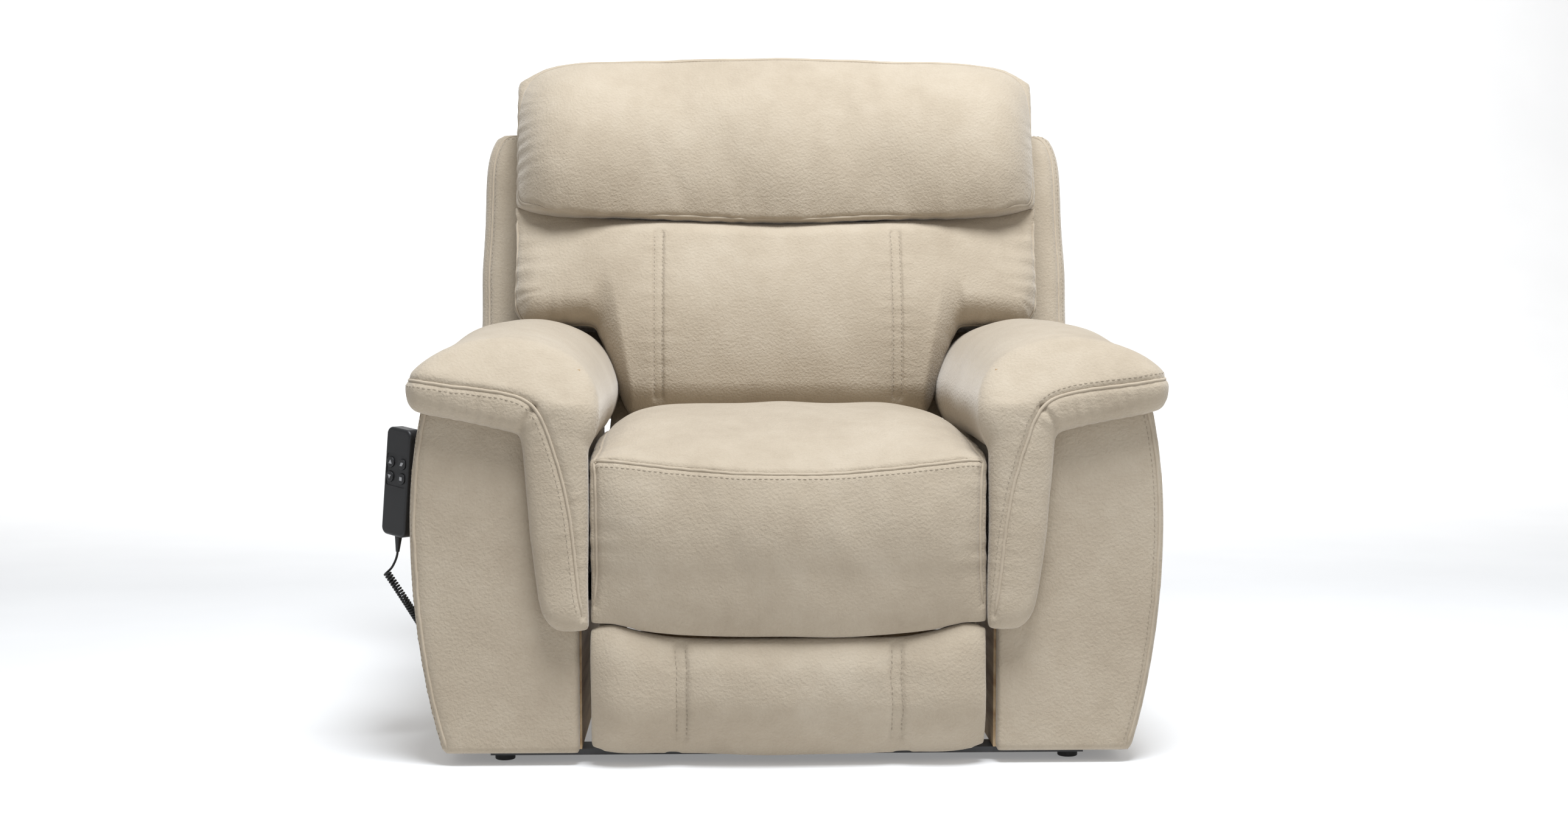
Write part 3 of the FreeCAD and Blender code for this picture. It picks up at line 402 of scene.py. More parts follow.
def layOn(obj, points, count, passes=4):
    # Drops a line on to a piece: nearest surface points, eased along the line, with surface normals
    tree = BVHTree.FromObject(obj, bpy.context.evaluated_depsgraph_get())
    line = curveThrough(points, count)
    for _ in range(2):
        hits = [tree.find_nearest(Vector(p)) for p in line]
        line = np.array([h[0] for h in hits])
        normals = np.array([h[1] for h in hits])
        for _ in range(passes):
            line[1:-1] = (line[:-2] + 2 * line[1:-1] + line[2:]) / 4
            normals[1:-1] = (normals[:-2] + 2 * normals[1:-1] + normals[2:]) / 4
    return line, normals / np.linalg.norm(normals, axis=1, keepdims=True)


def nearest(co, line):
    # Distance of each point to a line's own points, worked out in blocks
    block = 4000
    out = np.empty(len(co))
    for i in range(0, len(co), block):
        d = co[i:i + block, None, :] - line[None]
        out[i:i + block] = np.sqrt((d * d).sum(-1).min(1))
    return out


def pressIn(obj, lines, depth, width):
    # Draws the cover in along seams: depth times a bell curve of the distance
    co = readPoints(obj.data)
    dist = nearest(co, np.vstack(lines))
    writePoints(obj.data, co - readNormals(obj.data) * (depth * np.exp(-(dist / width) ** 2))[:, None])


def tubeGrid(line, up, wide, high, sides):
    # Oval profile carried along a line; up is the surface normal under it
    along = np.gradient(line, axis=0)
    along /= np.linalg.norm(along, axis=1, keepdims=True)
    side = np.cross(along, up)
    side /= np.linalg.norm(side, axis=1, keepdims=True)
    up = np.cross(side, along)
    a = np.linspace(0, 2 * np.pi, sides, endpoint=False)
    s = np.linspace(0, 1, len(line))
    taper = np.clip(np.minimum(s, 1 - s) * len(line) / 3.0, 0.25, 1.0)[:, None, None]
    ring = np.cos(a)[None, :, None] * side[:, None] * wide + np.sin(a)[None, :, None] * up[:, None] * high
    return line[:, None] + ring * taper


def piping(name, line, up, wide, high, body):
    grid = tubeGrid(line, up, wide, high, 10)
    piece = addPiece(name, grid, shut(grid), pipeCloth)
    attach(piece, body)


def stitches(name, lines, body, pitch=0.0075, length=0.0052, radius=0.00055):
    # Rows of short thread runs: each is a six-sided spindle that dips at both ends
    spots, ways, ups = [], [], []
    for line, up in lines:
        run = np.r_[0, np.cumsum(np.linalg.norm(np.diff(line, axis=0), axis=1))]
        at = np.arange(pitch, run[-1] - pitch, pitch)
        way = np.gradient(line, axis=0)
        for out, data in ((spots, line), (ways, way), (ups, up)):
            out.append(np.stack([np.interp(at, run, data[:, k]) for k in range(3)], 1))
    spots, ways, ups = (np.vstack(v) for v in (spots, ways, ups))
    ways /= np.linalg.norm(ways, axis=1, keepdims=True)
    side = np.cross(ways, ups)
    side /= np.linalg.norm(side, axis=1, keepdims=True)
    around, rings = 6, 4
    each = around * rings
    a = np.linspace(0, 2 * np.pi, around, endpoint=False)[None, None, :, None]
    ring = np.cos(a) * side[:, None, None] + np.sin(a) * ups[:, None, None]
    place = np.array([-0.5, -0.25, 0.25, 0.5]) * length
    fat = np.array([0.45, 1.0, 1.0, 0.45]) * radius
    rise = np.array([-0.4, 0.5, 0.5, -0.4]) * radius
    mid = spots[:, None] + ways[:, None] * place[None, :, None] + ups[:, None] * rise[None, :, None]
    grid = mid[:, :, None] + ring * fat[None, :, None, None]
    starts = each * np.arange(len(spots))[:, None, None]
    walls = np.array(gridFaces(rings, around, True))
    caps = np.array([np.arange(around)[::-1], np.arange(each - around, each)])
    faces = (walls[None] + starts).reshape(-1, 4).tolist()
    faces += (caps[None] + starts).reshape(-1, around).tolist()
    piece = addPiece(name, grid, faces, threadCloth)
    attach(piece, body)


def offsetLine(line, up, gap):
    # The same line moved sideways over the surface
    along = np.gradient(line, axis=0)
    side = np.cross(along, up)
    return line + side / np.linalg.norm(side, axis=1, keepdims=True) * gap


def dress(obj, nodeNames, body):
    obj.data.materials.clear()
    obj.data.materials.append(cover)
    obj.data.polygons.foreach_set("use_smooth", [True] * len(obj.data.polygons))
    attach(obj, body)
    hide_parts(*nodeNames)


def pleats(obj, points, spacing, reach, depth, seed):
    # Gathers along a seam: waves along the line that fade away from it, each wave with its own size and shift
    step, block, flatBy = 0.0015, 3000, 0.005
    length = np.linalg.norm(np.diff(curveThrough(toRow(points), 60), axis=0), axis=1).sum()
    line = curveThrough(toRow(points), int(length / step))
    co, normals = readPoints(obj.data), readNormals(obj.data)
    around = 2.2 * reach
    near = np.nonzero(np.all((co > line.min(0) - around) & (co < line.max(0) + around), axis=1))[0]
    dist, place = np.empty(len(near)), np.empty(len(near))
    for i in range(0, len(near), block):
        d = np.linalg.norm(co[near[i:i + block], None] - line[None], axis=2)
        dist[i:i + block] = d.min(1)
        place[i:i + block] = d.argmin(1) * length / (len(line) - 1)
    rng = np.random.default_rng(seed)
    knots = np.arange(0, length + 2 * spacing, spacing)
    size = np.interp(place, knots, rng.uniform(0.15, 1.0, len(knots)))
    shift = np.interp(place, knots, rng.uniform(-1.3, 1.3, len(knots)))
    wave = size * np.cos(2 * np.pi * place / spacing + shift)
    wave = wave * np.exp(-(dist / reach) ** 2) * dist / (dist + flatBy)
    ends = ease(place / (1.5 * spacing)) * ease((length - place) / (1.5 * spacing))
    co[near] += normals[near] * (depth * wave * ends)[:, None]
    writePoints(obj.data, co)


def uneven(co, normals, size):
    # Stuffing is never quite even: three crossing slow waves along the normal
    slow = np.sin(co @ np.array([31.0, 12.0, 19.0])) + np.sin(co @ np.array([-17.0, 23.0, 34.0]) + 1.3)
    slow += 0.6 * np.sin(co @ np.array([52.0, -28.0, 41.0]) + 2.1)
    return co + normals * (size * slow / 2.6)[:, None]


def cushion(name, nodeNames, opts, seams=(), rests=None, shape=None):
    # Close copy of the solids; faces between the seams are blown up on a coarser copy, whose moves it takes
    obj = fromSolids(name, nodeNames, opts["voxel"], opts["ease"])
    if opts["press"]:
        rough = fromSolids(name + "Rough", nodeNames, opts["coarse"], 1)
        co = readPoints(rough.data)
        held = nearest(co, np.vstack([curveThrough(toRow(r), 120) for r in seams])) < opts["hold"]
        if rests is not None:
            held |= rests(co * 1000.0 - rowShift)
        moves = puff(rough, opts["press"], opts["cap"], held)
        fine = readPoints(obj.data)
        writePoints(obj.data, fine + spreadMoves(co, moves, fine, opts["coarse"]))
        bpy.data.meshes.remove(rough.data)
    if shape is not None:
        writePoints(obj.data, toRow(shape(readPoints(obj.data) * 1000.0 - rowShift)))
    if opts["fine"]:
        writePoints(obj.data, uneven(readPoints(obj.data), readNormals(obj.data), opts["uneven"]))
        refine(obj)
    return obj


def piped(obj, name, points, body, opts, topStitch=True):
    # Lapped seam: a drawn-in line, a soft ridge on it and a row of stitches beside the ridge
    line, _ = layOn(obj, toRow(points), opts["count"])
    pressIn(obj, [line], opts["depth"], opts["bell"])
    line, up = layOn(obj, line, opts["count"], 2)
    piping(name + "Piping", line, up, opts["wide"], opts["high"], body)
    if topStitch:
        beside = offsetLine(line, up, opts["aside"])
        stitches(name + "Stitches", [layOn(obj, beside, opts["count"], 1)], body)


def doubleStitched(obj, name, routes, body, opts):
    # Flat seam with a row of stitches on each side
    lines = [layOn(obj, toRow(r), opts["count"]) for r in routes]
    pressIn(obj, [line for line, _ in lines], opts["depth"], opts["bell"])
    rows = []
    for line, up in lines:
        for gap in (-opts["apart"] / 2, opts["apart"] / 2):
            rows.append(layOn(obj, offsetLine(line, up, gap), opts["count"], 1))
    pressIn(obj, [line for line, _ in rows], opts["dip"], opts["dipBell"])
    rows = [layOn(obj, line, opts["count"], 0) for line, _ in rows]
    stitches(name + "Stitches", rows, body)


seamLook = {"count": 160, "depth": 0.0034, "bell": 0.0055, "wide": 0.0023, "high": 0.0022, "aside": 0.0085}

# Handset cord: the route and helix of the CAD cord, as control points of one smooth spline
cordLook = {"radius": 1.7, "coilR": 4.3, "turns": 29, "perTurn": 12, "start": 150.0}
handMid = np.array([-551.3, -265.4, 377.5])
handTurn, handLean = math.radians(42.0), math.radians(6.2)
handHalfL, handHalfT, reliefL = 78.5, 12.0, 24.0


def hangWay(points):
    # Handset's own axes to the chair's: leant about Y, then turned about Z
    p = np.asarray(points, float)
    x = p[..., 0] * math.cos(handLean) + p[..., 2] * math.sin(handLean)
    z = -p[..., 0] * math.sin(handLean) + p[..., 2] * math.cos(handLean)
    c, s = math.cos(-handTurn), math.sin(-handTurn)
    return np.stack([x * c - p[..., 1] * s, x * s + p[..., 1] * c, z], -1)


def hangPoint(points):
    return hangWay(points) + handMid


def coilLine():
    # A circle carried round an arc through three points: the wire winds about that bent axis
    a, b, c = np.array([[-575.0, -262.0, 246.0], [-543.0, -250.0, 192.0], [-524.0, -212.0, 146.0]])
    u, v = b - a, c - a
    w = np.cross(u, v)
    mid = a + (np.cross(w, u) * v.dot(v) + np.cross(v, w) * u.dot(u)) / (2 * w.dot(w))
    axisR = np.linalg.norm(a - mid)
    e1 = (a - mid) / axisR
    normal = np.cross(b - a, c - b)
    normal /= np.linalg.norm(normal)
    e2 = np.cross(normal, e1)
    sweep = math.atan2((c - mid).dot(e2), (c - mid).dot(e1))
    s = np.linspace(0, 1, cordLook["turns"] * cordLook["perTurn"] + 1)[:, None]
    out = e1 * np.cos(sweep * s) + e2 * np.sin(sweep * s)
    phase = 2 * np.pi * cordLook["turns"] * s + math.radians(cordLook["start"])
    grow = cordLook["coilR"] / math.cos(math.pi / cordLook["perTurn"]) ** 0.67
    return mid + out * (axisR + grow * np.cos(phase)) + normal * (grow * np.sin(phase))


def makeCord():
    coil = coilLine()
    down = hangWay([0, 0, -1.0])
    lead = (coil[1] - coil[0]) / np.linalg.norm(coil[1] - coil[0])
    tail = (coil[-1] - coil[-2]) / np.linalg.norm(coil[-1] - coil[-2])
    tip = hangPoint([0, 0, -handHalfL - reliefL])
    # The arm's outside falls in by lowIn on an arc under its fullest height; the gland stands square on it
    lowIn, fullX, fullZ, armLow, glandZ, glandY, glandH = 42.0, 520.0, 330.0, 17.0, 118.0, -176.0, 8.0
    lowR = (lowIn ** 2 + (fullZ - armLow) ** 2) / (2 * lowIn)
    slant = math.asin((fullZ - glandZ) / lowR)
    out = np.array([-math.cos(slant), 0, -math.sin(slant)])
    face = np.array([-(fullX - lowR + lowR * math.cos(slant)), glandY, glandZ]) + out * glandH
    farEnd = [coil[-1] + tail * 9.0, face + out * 8.0, face]
    route = [tip, tip + down * 7.0, coil[0] - lead * 9.0, *coil, *farEnd]
    route = toRow(np.array(route))
    data = bpy.data.curves.new("cordRoute", "CURVE")
    data.dimensions = "3D"
    spline = data.splines.new("NURBS")
    spline.points.add(len(route) - 1)
    spline.points.foreach_set("co", np.c_[route, np.ones(len(route))].ravel())
    spline.order_u = 3
    spline.use_endpoint_u = True
    spline.resolution_u = 3
    obj = bpy.data.objects.new("cordRoute", data)
    scene.collection.objects.link(obj)
    dg = bpy.context.evaluated_depsgraph_get()
    bare = bpy.data.meshes.new_from_object(obj.evaluated_get(dg))
    path = readPoints(bare)
    data.bevel_depth = cordLook["radius"] / 1000.0
    data.bevel_resolution = 3
    data.use_fill_caps = True
    bpy.context.view_layer.update()
    mesh = bpy.data.meshes.new_from_object(obj.evaluated_get(bpy.context.evaluated_depsgraph_get()))
    bpy.data.objects.remove(obj)
    mesh.name = "curlyCord"
    mesh.materials.clear()
    mesh.materials.append(looks["handset_plastic"])
    mesh.polygons.foreach_set("use_smooth", [True] * len(mesh.polygons))
    cord = bpy.data.objects.new("curlyCord", mesh)
    scene.collection.objects.link(cord)
    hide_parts("handset_cord")
    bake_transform(cord)


makeCord()

# Button marks: flat raised shapes, drawn on each button's face
marks = {
    "up": (-1, 28.0, [(-3.4, -2.4), (3.4, -2.4), (0.0, 3.4)]),
    "down": (-1, 7.0, [(-3.4, 2.4), (0.0, -3.4), (3.4, 2.4)]),
    "recline": (1, 28.0, [(-3.6, -2.4), (1.2, -2.4), (3.6, 2.6), (-1.2, 2.6)]),
    "close": (1, 7.0, [(-2.6, -2.6), (2.6, -2.6), (2.6, 2.6), (-2.6, 2.6)]),
}
markAside, markFaces = 12.5, (-13.75, -13.0)
markPaint = moulded("markPaint", (0.36, 0.36, 0.37), 0.5, 2600.0, 0.0, 0.0001, 0.1)
for key, (place, height, shape) in marks.items():
    n = len(shape)
    ring = [(place * markAside + x, y, height + z) for y in markFaces for x, z in shape]
    faces = [list(range(n)), list(range(n, 2 * n))[::-1]]
    faces += [[i, n + i, n + (i + 1) % n, (i + 1) % n] for i in range(n)]
    mark = addPiece(key + "Mark", toRow(hangPoint(ring)), faces, markPaint, False)
    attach(mark, "button_" + key)

# Seat: one pillow with a lapped seam across its front and down its sides
seatLook = {
    "voxel": 0.0055, "coarse": 0.010, "ease": 2, "press": 4.0, "cap": 0.007, "hold": 0.016, "fine": True,
    "uneven": 0.0012,
}
spread = np.linspace(-1, 1, 21)
frontSeam = np.stack([spread * 269, -478 + 22 * spread ** 2, 408 + 18 * spread ** 2], 1)
sideSeams = []
for sign in (-1, 1):
    edge = [(sign * 264, y, 446 - 0.00012 * (y + 200) ** 2) for y in (80, -60, -200, -330, -420)]
    edge += [(sign * 268, -452, 424), (sign * 270, -466, 380)]
    edge += [(sign * 270, -468, 310), (sign * 269, -458, 225)]
    sideSeams.append(edge)
seatNodes = ["seat_cushion", "seat_front_border"]


def seatShape(p):
    # Lower edge of the border hangs down and forward, most in the middle; the top is full up to its sides
    x, y, z = p.T
    low = ease((275 - z) / 75) * ease((-372 - y) / 20)
    hang = 2.5 + 12.5 * np.clip(1 - (x / 240) ** 4, 0, 1)
    full = 7 * ease((np.abs(x) - 20) / 150) * ease((268 - np.abs(x)) / 45) * ease((z - 400) / 30)
    return np.stack([x, y - 12 * low, z - hang * low + full], 1)


def seatRests(p):
    # The underside behind the border, the sides and the border's lower edge stay put
    x, y, z = p.T
    return ((z < 352) & (y > -425)) | (np.abs(x) > 262) | (z < 214)


seat = cushion("seatPillow", seatNodes, seatLook, [frontSeam, *sideSeams], seatRests, seatShape)
dress(seat, seatNodes, "seat")
pleats(seat, frontSeam, 0.034, 0.03, 0.0011, 11)
for k, edge in enumerate(sideSeams):
    pleats(seat, edge, 0.036, 0.035, 0.0012, 21 + k)
piped(seat, "seatFront", frontSeam, "seat", seamLook)
for side, edge in zip(("Right", "Left"), sideSeams):
    piped(seat, "seatSide" + side, edge, "seat", seamLook, False)
print("seat done")

# Footrest: three sewn panels
footLook = {
    "voxel": 0.0055, "coarse": 0.009, "ease": 1, "press": 3.0, "cap": 0.004, "hold": 0.014, "fine": True,
    "uneven": 0.0012,
}
footSeams = [[(x, -470, 178), (x, -480, 140), (x, -480, 70), (x, -470, 30)] for x in (-148, 148)]


def footShape(p):
    # Top follows the hanging border above it, lower edge is bowed down in the middle
    x, y, z = p.T
    bow = np.clip(1 - (x / 268) ** 2, 0, 1)
    high = ease((z - 110) / 75)
    rise = 7.5 - 20 * np.clip(1 - (x / 240) ** 4, 0, 1)
    z = z + rise * high - 7 * bow * ease((75 - z) / 55)
    return np.stack([x, y - 9 * high * ease((-404 - y) / 16), z], 1)


def footRests(p):
    # All but the front face stays put
    x, y, z = p.T
    return (y > -442) | (np.abs(x) > 258) | (z < 32) | (z > 176)


foot = cushion("footrestPillow", ["footrest_pad"], footLook, footSeams, footRests, footShape)
dress(foot, ["footrest_pad"], "footrest")
flatSeam = {"count": 90, "depth": 0.0035, "bell": 0.009, "apart": 0.011, "dip": 0.0022, "dipBell": 0.003}
for k, route in enumerate(footSeams):
    pleats(foot, route, 0.024, 0.02, 0.0009, 31 + k)
doubleStitched(foot, "footrest", footSeams, "footrest", flatSeam)
print("footrest done")

# Back: lumbar pillow in three panels, headrest pillow above it
backLook = {
    "voxel": 0.0055, "coarse": 0.010, "ease": 2, "press": 4.0, "cap": 0.006, "hold": 0.018, "fine": True,
    "uneven": 0.0012,
}


def lumbarLow(x):
    # Lower outline: behind the seat in the middle, then up and out over the arms, rounded at its outer end
    wide = np.abs(x)
    return 152 + 147 * ease((wide - 234) / 70) + 30 * np.clip((wide - 396) / 32, 0, 1) ** 2


def lumbarGrid(name, across, rows):
    # Front: full depth less a fall to the sides, times quarter circles in from each edge; rear is flat
    x, v = np.meshgrid(across, np.linspace(0, 1, rows), indexing="ij")
    cols = len(across)
    low, high = lumbarLow(x), 472 + 26 * (x / backHalf) ** 2
    z = low + (high - low) * v
    wide = np.abs(x)
    slant = np.sqrt(1 + np.gradient(lumbarLow(x[:, 0]), x[:, 0]) ** 2)[:, None]
    full = 88 + 32 * np.sin(np.pi * np.clip((z - 150) / 320, 0, 1))
    full = full - 44 * np.clip((wide - seamLumbar) / 236, 0, 1) ** 1.5
    edge = np.ones_like(z)
    for gap, reach in (((high - z), 34.0), ((z - low) / slant, 46.0), ((backHalf - wide), 40.0)):
        edge *= np.sqrt(np.clip(1 - (1 - np.clip(gap / reach, 0, 1)) ** 2, 0, 1))
    front = leanBack(np.stack([x, -44 - (full - 44) * edge, z], -1))
    rear = leanBack(np.stack([x, 0 * x - 3.2, z], -1))
    verts = toRow(np.stack([front, rear]))
    n = cols * rows
    faces = gridFaces(cols, rows, False) + [f[::-1] for f in gridFaces(cols, rows, False, n)]
    i = np.arange(n).reshape(cols, rows)
    rim = np.r_[i[:-1, 0], i[-1, :-1], i[:0:-1, -1], i[0, :0:-1]]
    after = np.roll(rim, -1)
    faces += np.stack([rim, rim + n, after + n, after], 1).tolist()
    obj = addPiece(name, verts, faces, cover)
    turnOutward(obj)
    return obj


def shellShape(p):
    # Upper parts of the back stand a little taller, with the headrest's upper corners rounded off
    x, y, z = standUp(p).T
    corner = ease((np.abs(x) - 375) / 55) * ease((z - 680) / 60)
    return leanBack(np.stack([x, y, z + 6 * ease((z - 440) / 200) - 9 * corner], 1))


channelLine = [(-100, 448), (-112, 380), (-116, 300), (-108, 215), (-92, 165)]
channels = []
rims = []
rimX = np.array([262, 274, 286, 300, 330, 370, 400, 416, 425])
for sign in (-1, 1):
    channels.append(leanBack([(sign * seamLumbar, y, z) for y, z in channelLine]))
    rim = [(sign * x, -48, z + 3) for x, z in zip(rimX, lumbarLow(rimX))]
    rims.append(leanBack(rim + [(sign * 427, -46, z) for z in (350, 400, 478)]))
closeBy = np.linspace(-15, 15, 25)     # closer columns beside the two channels
columns = np.r_[np.linspace(-backHalf, backHalf, 240), closeBy - seamLumbar, closeBy + seamLumbar]
lumbar = lumbarGrid("lumbarPillow", np.unique(columns), 130)
writePoints(lumbar.data, uneven(readPoints(lumbar.data), readNormals(lumbar.data), backLook["uneven"]))
for k, route in enumerate(channels + rims):
    pleats(lumbar, route, 0.027, 0.024 + 0.03 * (k > 1), 0.0009 + 0.0008 * (k > 1), 41 + k)
dress(lumbar, ["lumbar_cushion"], "back")
doubleStitched(lumbar, "lumbar", channels, "back", dict(flatSeam, count=120))
for side, rim in zip(("Right", "Left"), rims):
    piped(lumbar, "lumbarEdge" + side, rim, "back", seamLook, False)
across = np.linspace(-0.93, 0.93, 15)
lowRim = np.stack([across * backHalf, -88 + 0 * across, 468 + 26 * across ** 2], 1)
topRim = np.stack([across[::-1] * backHalf, -52 + 0 * across, 748 - 26 * across ** 2], 1)
rightRim = [(-420, -60, 716), (-428, -50, 660), (-428, -50, 580), (-424, -52, 510)]
leftRim = [(420, -60, 500), (428, -50, 580), (428, -50, 660), (420, -56, 716)]
headSeam = leanBack(np.vstack([lowRim, leftRim, topRim, rightRim, lowRim[:1]]))
head = cushion("headPillow", ["headrest_cushion"], backLook, [headSeam], lambda p: p[:, 1] > 300, shellShape)
pleats(head, shellShape(leanBack(rightRim)), 0.022, 0.06, 0.0013, 51)
pleats(head, shellShape(leanBack(leftRim)), 0.024, 0.05, 0.0006, 52)
pleats(head, shellShape(leanBack(lowRim)), 0.04, 0.03, 0.0014, 53)
dress(head, ["headrest_cushion"], "back")
piped(head, "headrestEdge", shellShape(headSeam), "back", dict(seamLook, count=420), False)
print("back pillows done")

# Back shell: wings, top border and rear panel
shellLook = {"voxel": 0.006, "ease": 1, "press": 0.0, "fine": False}
wingFront = [(479, 36, 186), (489, 34, 290), (490, 34, 420), (486, 34, 540)]
wingFront += [(476, 36, 622), (455, 40, 644), (400, 42, 646)]
wingRear = [(470, 156, 200), (480, 156, 300), (482, 156, 420), (476, 156, 540), (466, 156, 630)]
for side, sign in (("right", -1), ("left", 1)):
    node = side + "_back_wing"
    wing = cushion(side + "WingPad", [node], shellLook, shape=shellShape)
    dress(wing, [node], "back")
    edge = leanBack([(sign * x, y, z) for x, y, z in wingFront])
    piped(wing, side + "WingEdge", shellShape(edge), "back", dict(seamLook, aside=0.008))
    rearEdge = leanBack([(sign * x, y, z) for x, y, z in wingRear])
    piped(wing, side + "WingRear", shellShape(rearEdge), "back", seamLook, False)
border = cushion("topBorderPad", ["back_top_border"], shellLook, shape=shellShape)
dress(border, ["back_top_border"], "back")
rearPad = cushion("rearPanelPad", ["back_rear_panel"], dict(shellLook, voxel=0.005), shape=shellShape)
dress(rearPad, ["back_rear_panel"], "back")
print("back shell done")

# Arms: pillow that runs over the arm and down its front, panels at the front and side
armLook = {"voxel": 0.0055, "ease": 5, "uneven": 0.0012}
panelLook = {"voxel": 0.006, "ease": 1, "press": 0.0, "fine": False}
padSeam = [
    (507, 150, 532), (509, -100, 532), (509, -300, 532), (517, -430, 533), (504, -466, 532),
    (460, -474, 526), (400, -476, 519), (368, -476, 513), (350, -476, 503), (337, -476, 486),
    (327, -476, 462), (309, -475, 405), (298, -474, 355), (291, -474, 303), (286, -470, 250),
    (283, -462, 212),
]
armSection = [
    (277, 434), (262, 462), (257, 495), (266, 528), (282, 557), (308, 582), (345, 599), (385, 606),
    (430, 602), (470, 587), (500, 564), (517, 541), (521, 522), (516, 500), (497, 490), (430, 477),
    (365, 462), (310, 450),
]
armRoll = ([190, 218, 240, 320, 400, 460, 505], [334, 338, 342, 352, 359, 364, 364])


def squarish(t):
    # Sine or cosine held nearer to its ends, so that an oval gets fuller corners
    return np.sign(t) * np.abs(t) ** 0.7


def armBody(name, sign):
    # One section carried along the arm: it lowers to both ends, where it closes on its own middle line in a
    # quarter circle; the roll is a squarish oval carried down the front, narrower and closed at its foot
    section = curveThrough([(x, 0, z) for x, z in armSection + armSection[:1]], 110)[:-1]
    steps = 60
    turn = np.radians(np.linspace(0, 82, 9))
    y = np.r_[175 + 30 * np.sin(turn[::-1]), np.linspace(165, -432, steps), -440 - 34 * np.sin(turn)]
    size = np.r_[np.cos(turn[::-1]), np.ones(steps), np.cos(turn)][:, None]
    x, z = section[None, :, 0] + 0 * size, section[None, :, 2] + 0 * size
    y = np.repeat(y[:, None], x.shape[1], 1)
    # Crown falls by a fifth to the front and stays under a cap that is lower at the rear, by a smooth minimum
    z = np.where(z > 520, 520 + (z - 520) * (1 - 0.2 * ease((-150 - y) / 290)), z)
    cap = 624 - 40 * ease((y - 80) / 100)
    z = cap - 6 * np.logaddexp(0, (cap - z) / 6)
    midX = np.clip(x, 300, 490)
    midZ = 470 + (midX - 300) / 190 * 48
    x, z = midX + (x - midX) * size, midZ + (z - midZ) * size
    # Upper front slopes back, the outside is drawn in behind it, and the front's lower lip hangs
    y = y + 0.75 * np.clip(z - midZ - 28, 0, None) * ease((-360 - y) / 80)
    x = x - 12 * ease((x - 440) / 70) * ease((y + 430) / 90)
    z = z - 5 * ease((-425 - y) / 20) * ease((512 - z) / 20)
    pad = np.stack([sign * x, y, z], -1)
    z = np.r_[190 + 36 * (1 - np.cos(turn)), np.linspace(232, 500, 50)][:, None]
    narrow = np.sqrt(np.clip(1 - ((226 - np.minimum(z, 226)) / 37) ** 2, 0, 1))
    outer = np.interp(z, *armRoll)
    a = np.linspace(0, 2 * np.pi, 64, endpoint=False)[None]
    half = (outer - 272) / 2 * (0.55 + 0.45 * narrow)
    x = 272.5 + half * (1 + squarish(np.cos(a)))
    y = -449 + 25 * (0.3 + 0.7 * narrow) * squarish(np.sin(a))
    roll = np.stack([sign * x, y, z + 0 * x], -1)
    faces = shut(pad) + [[k + pad.shape[0] * pad.shape[1] for k in f] for f in shut(roll)]
    obj = addPiece(name, toRow(np.vstack([pad.reshape(-1, 3), roll.reshape(-1, 3)])), faces, cover)
    turnOutward(obj)
    evenGrid(obj, armLook["voxel"], armLook["ease"])
    writePoints(obj.data, uneven(readPoints(obj.data), readNormals(obj.data), armLook["uneven"]))
    refine(obj)
    return obj


def frontShape(p):
    # Front part of the arm's outside is as full as its middle; its rear end wraps the rear board's edge
    x, y, z = p.T
    x = x + np.sign(x) * 2 * ease((y - 150) / 35)
    y = y + 11 * ease((y - 160) / 33)
    full = 7 * ease((np.abs(x) - 420) / 70) * ease((-290 - y) / 110)
    return np.stack([x + np.sign(x) * full, y, z], 1)


mitreSeam = [(344, -476, 496), (354, -474, 482), (364, -466, 466)]
mitreLook = {"count": 24, "depth": 0.004, "bell": 0.004}
frontEdge = [(470, 24), (492, 110), (506, 220), (511, 330), (507, 410), (497, 470), (490, 496)]
for side, sign in (("right", -1), ("left", 1)):
    names = [side + "_arm_pad", side + "_arm_front_roll"]
    seam = [(sign * x, y, z) for x, y, z in padSeam]
    mitre = [(sign * x, y, z) for x, y, z in mitreSeam]
    pillow = armBody(side + "ArmPillow", sign)
    lipEdge = [(sign * x, -466, z) for x, z in ((498, 506), (450, 496), (400, 484), (368, 474))]
    pleats(pillow, lipEdge, 0.017, 0.022, 0.0016, 61)
    pleats(pillow, seam, 0.023, 0.022, 0.0006, 62)
    dress(pillow, names, "chair")
    piped(pillow, side + "ArmPad", seam, "chair", dict(seamLook, count=300))
    line, _ = layOn(pillow, toRow(mitre), mitreLook["count"])
    pressIn(pillow, [line], mitreLook["depth"], mitreLook["bell"])
    front = cushion(side + "ArmFrontPad", [side + "_arm_front_panel"], panelLook, shape=frontShape)
    dress(front, [side + "_arm_front_panel"], "chair")
    edge = [(sign * (x + 1), -440, z) for x, z in frontEdge]
    piped(front, side + "ArmFrontEdge", edge, "chair", dict(seamLook, aside=-0.0075))
    outer = cushion(side + "ArmSidePad", [side + "_arm_outer_panel"], panelLook, shape=frontShape)
    dress(outer, [side + "_arm_outer_panel"], "chair")
    belt = [(sign * 519, y, 385) for y in (-415, -300, -120, 60, 190)]
    piped(outer, side + "ArmSideBelt", belt, "chair", seamLook)


def clothPanel(name, flat, way, bulge, body):
    # Thin stretched cover: a walled patch of points, pushed out by the root of a sine bell across and along
    rows, cols = flat.shape[:2]
    u, v = np.meshgrid(np.linspace(0, 1, rows), np.linspace(0, 1, cols), indexing="ij")
    bell = np.sqrt(np.clip(np.sin(np.pi * u) * np.sin(np.pi * v), 0, 1))
    points = toRow(flat + np.array(way) * (bulge * bell)[..., None])
    piece = addPiece(name, points, gridFaces(rows, cols, False), cover)
    wall = piece.modifiers.new("wall", "SOLIDIFY")
    wall.thickness = 0.0015
    wall.offset = 0.0
    settle(piece)
    piece.data.polygons.foreach_set("use_smooth", [True] * len(piece.data.polygons))
    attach(piece, body)


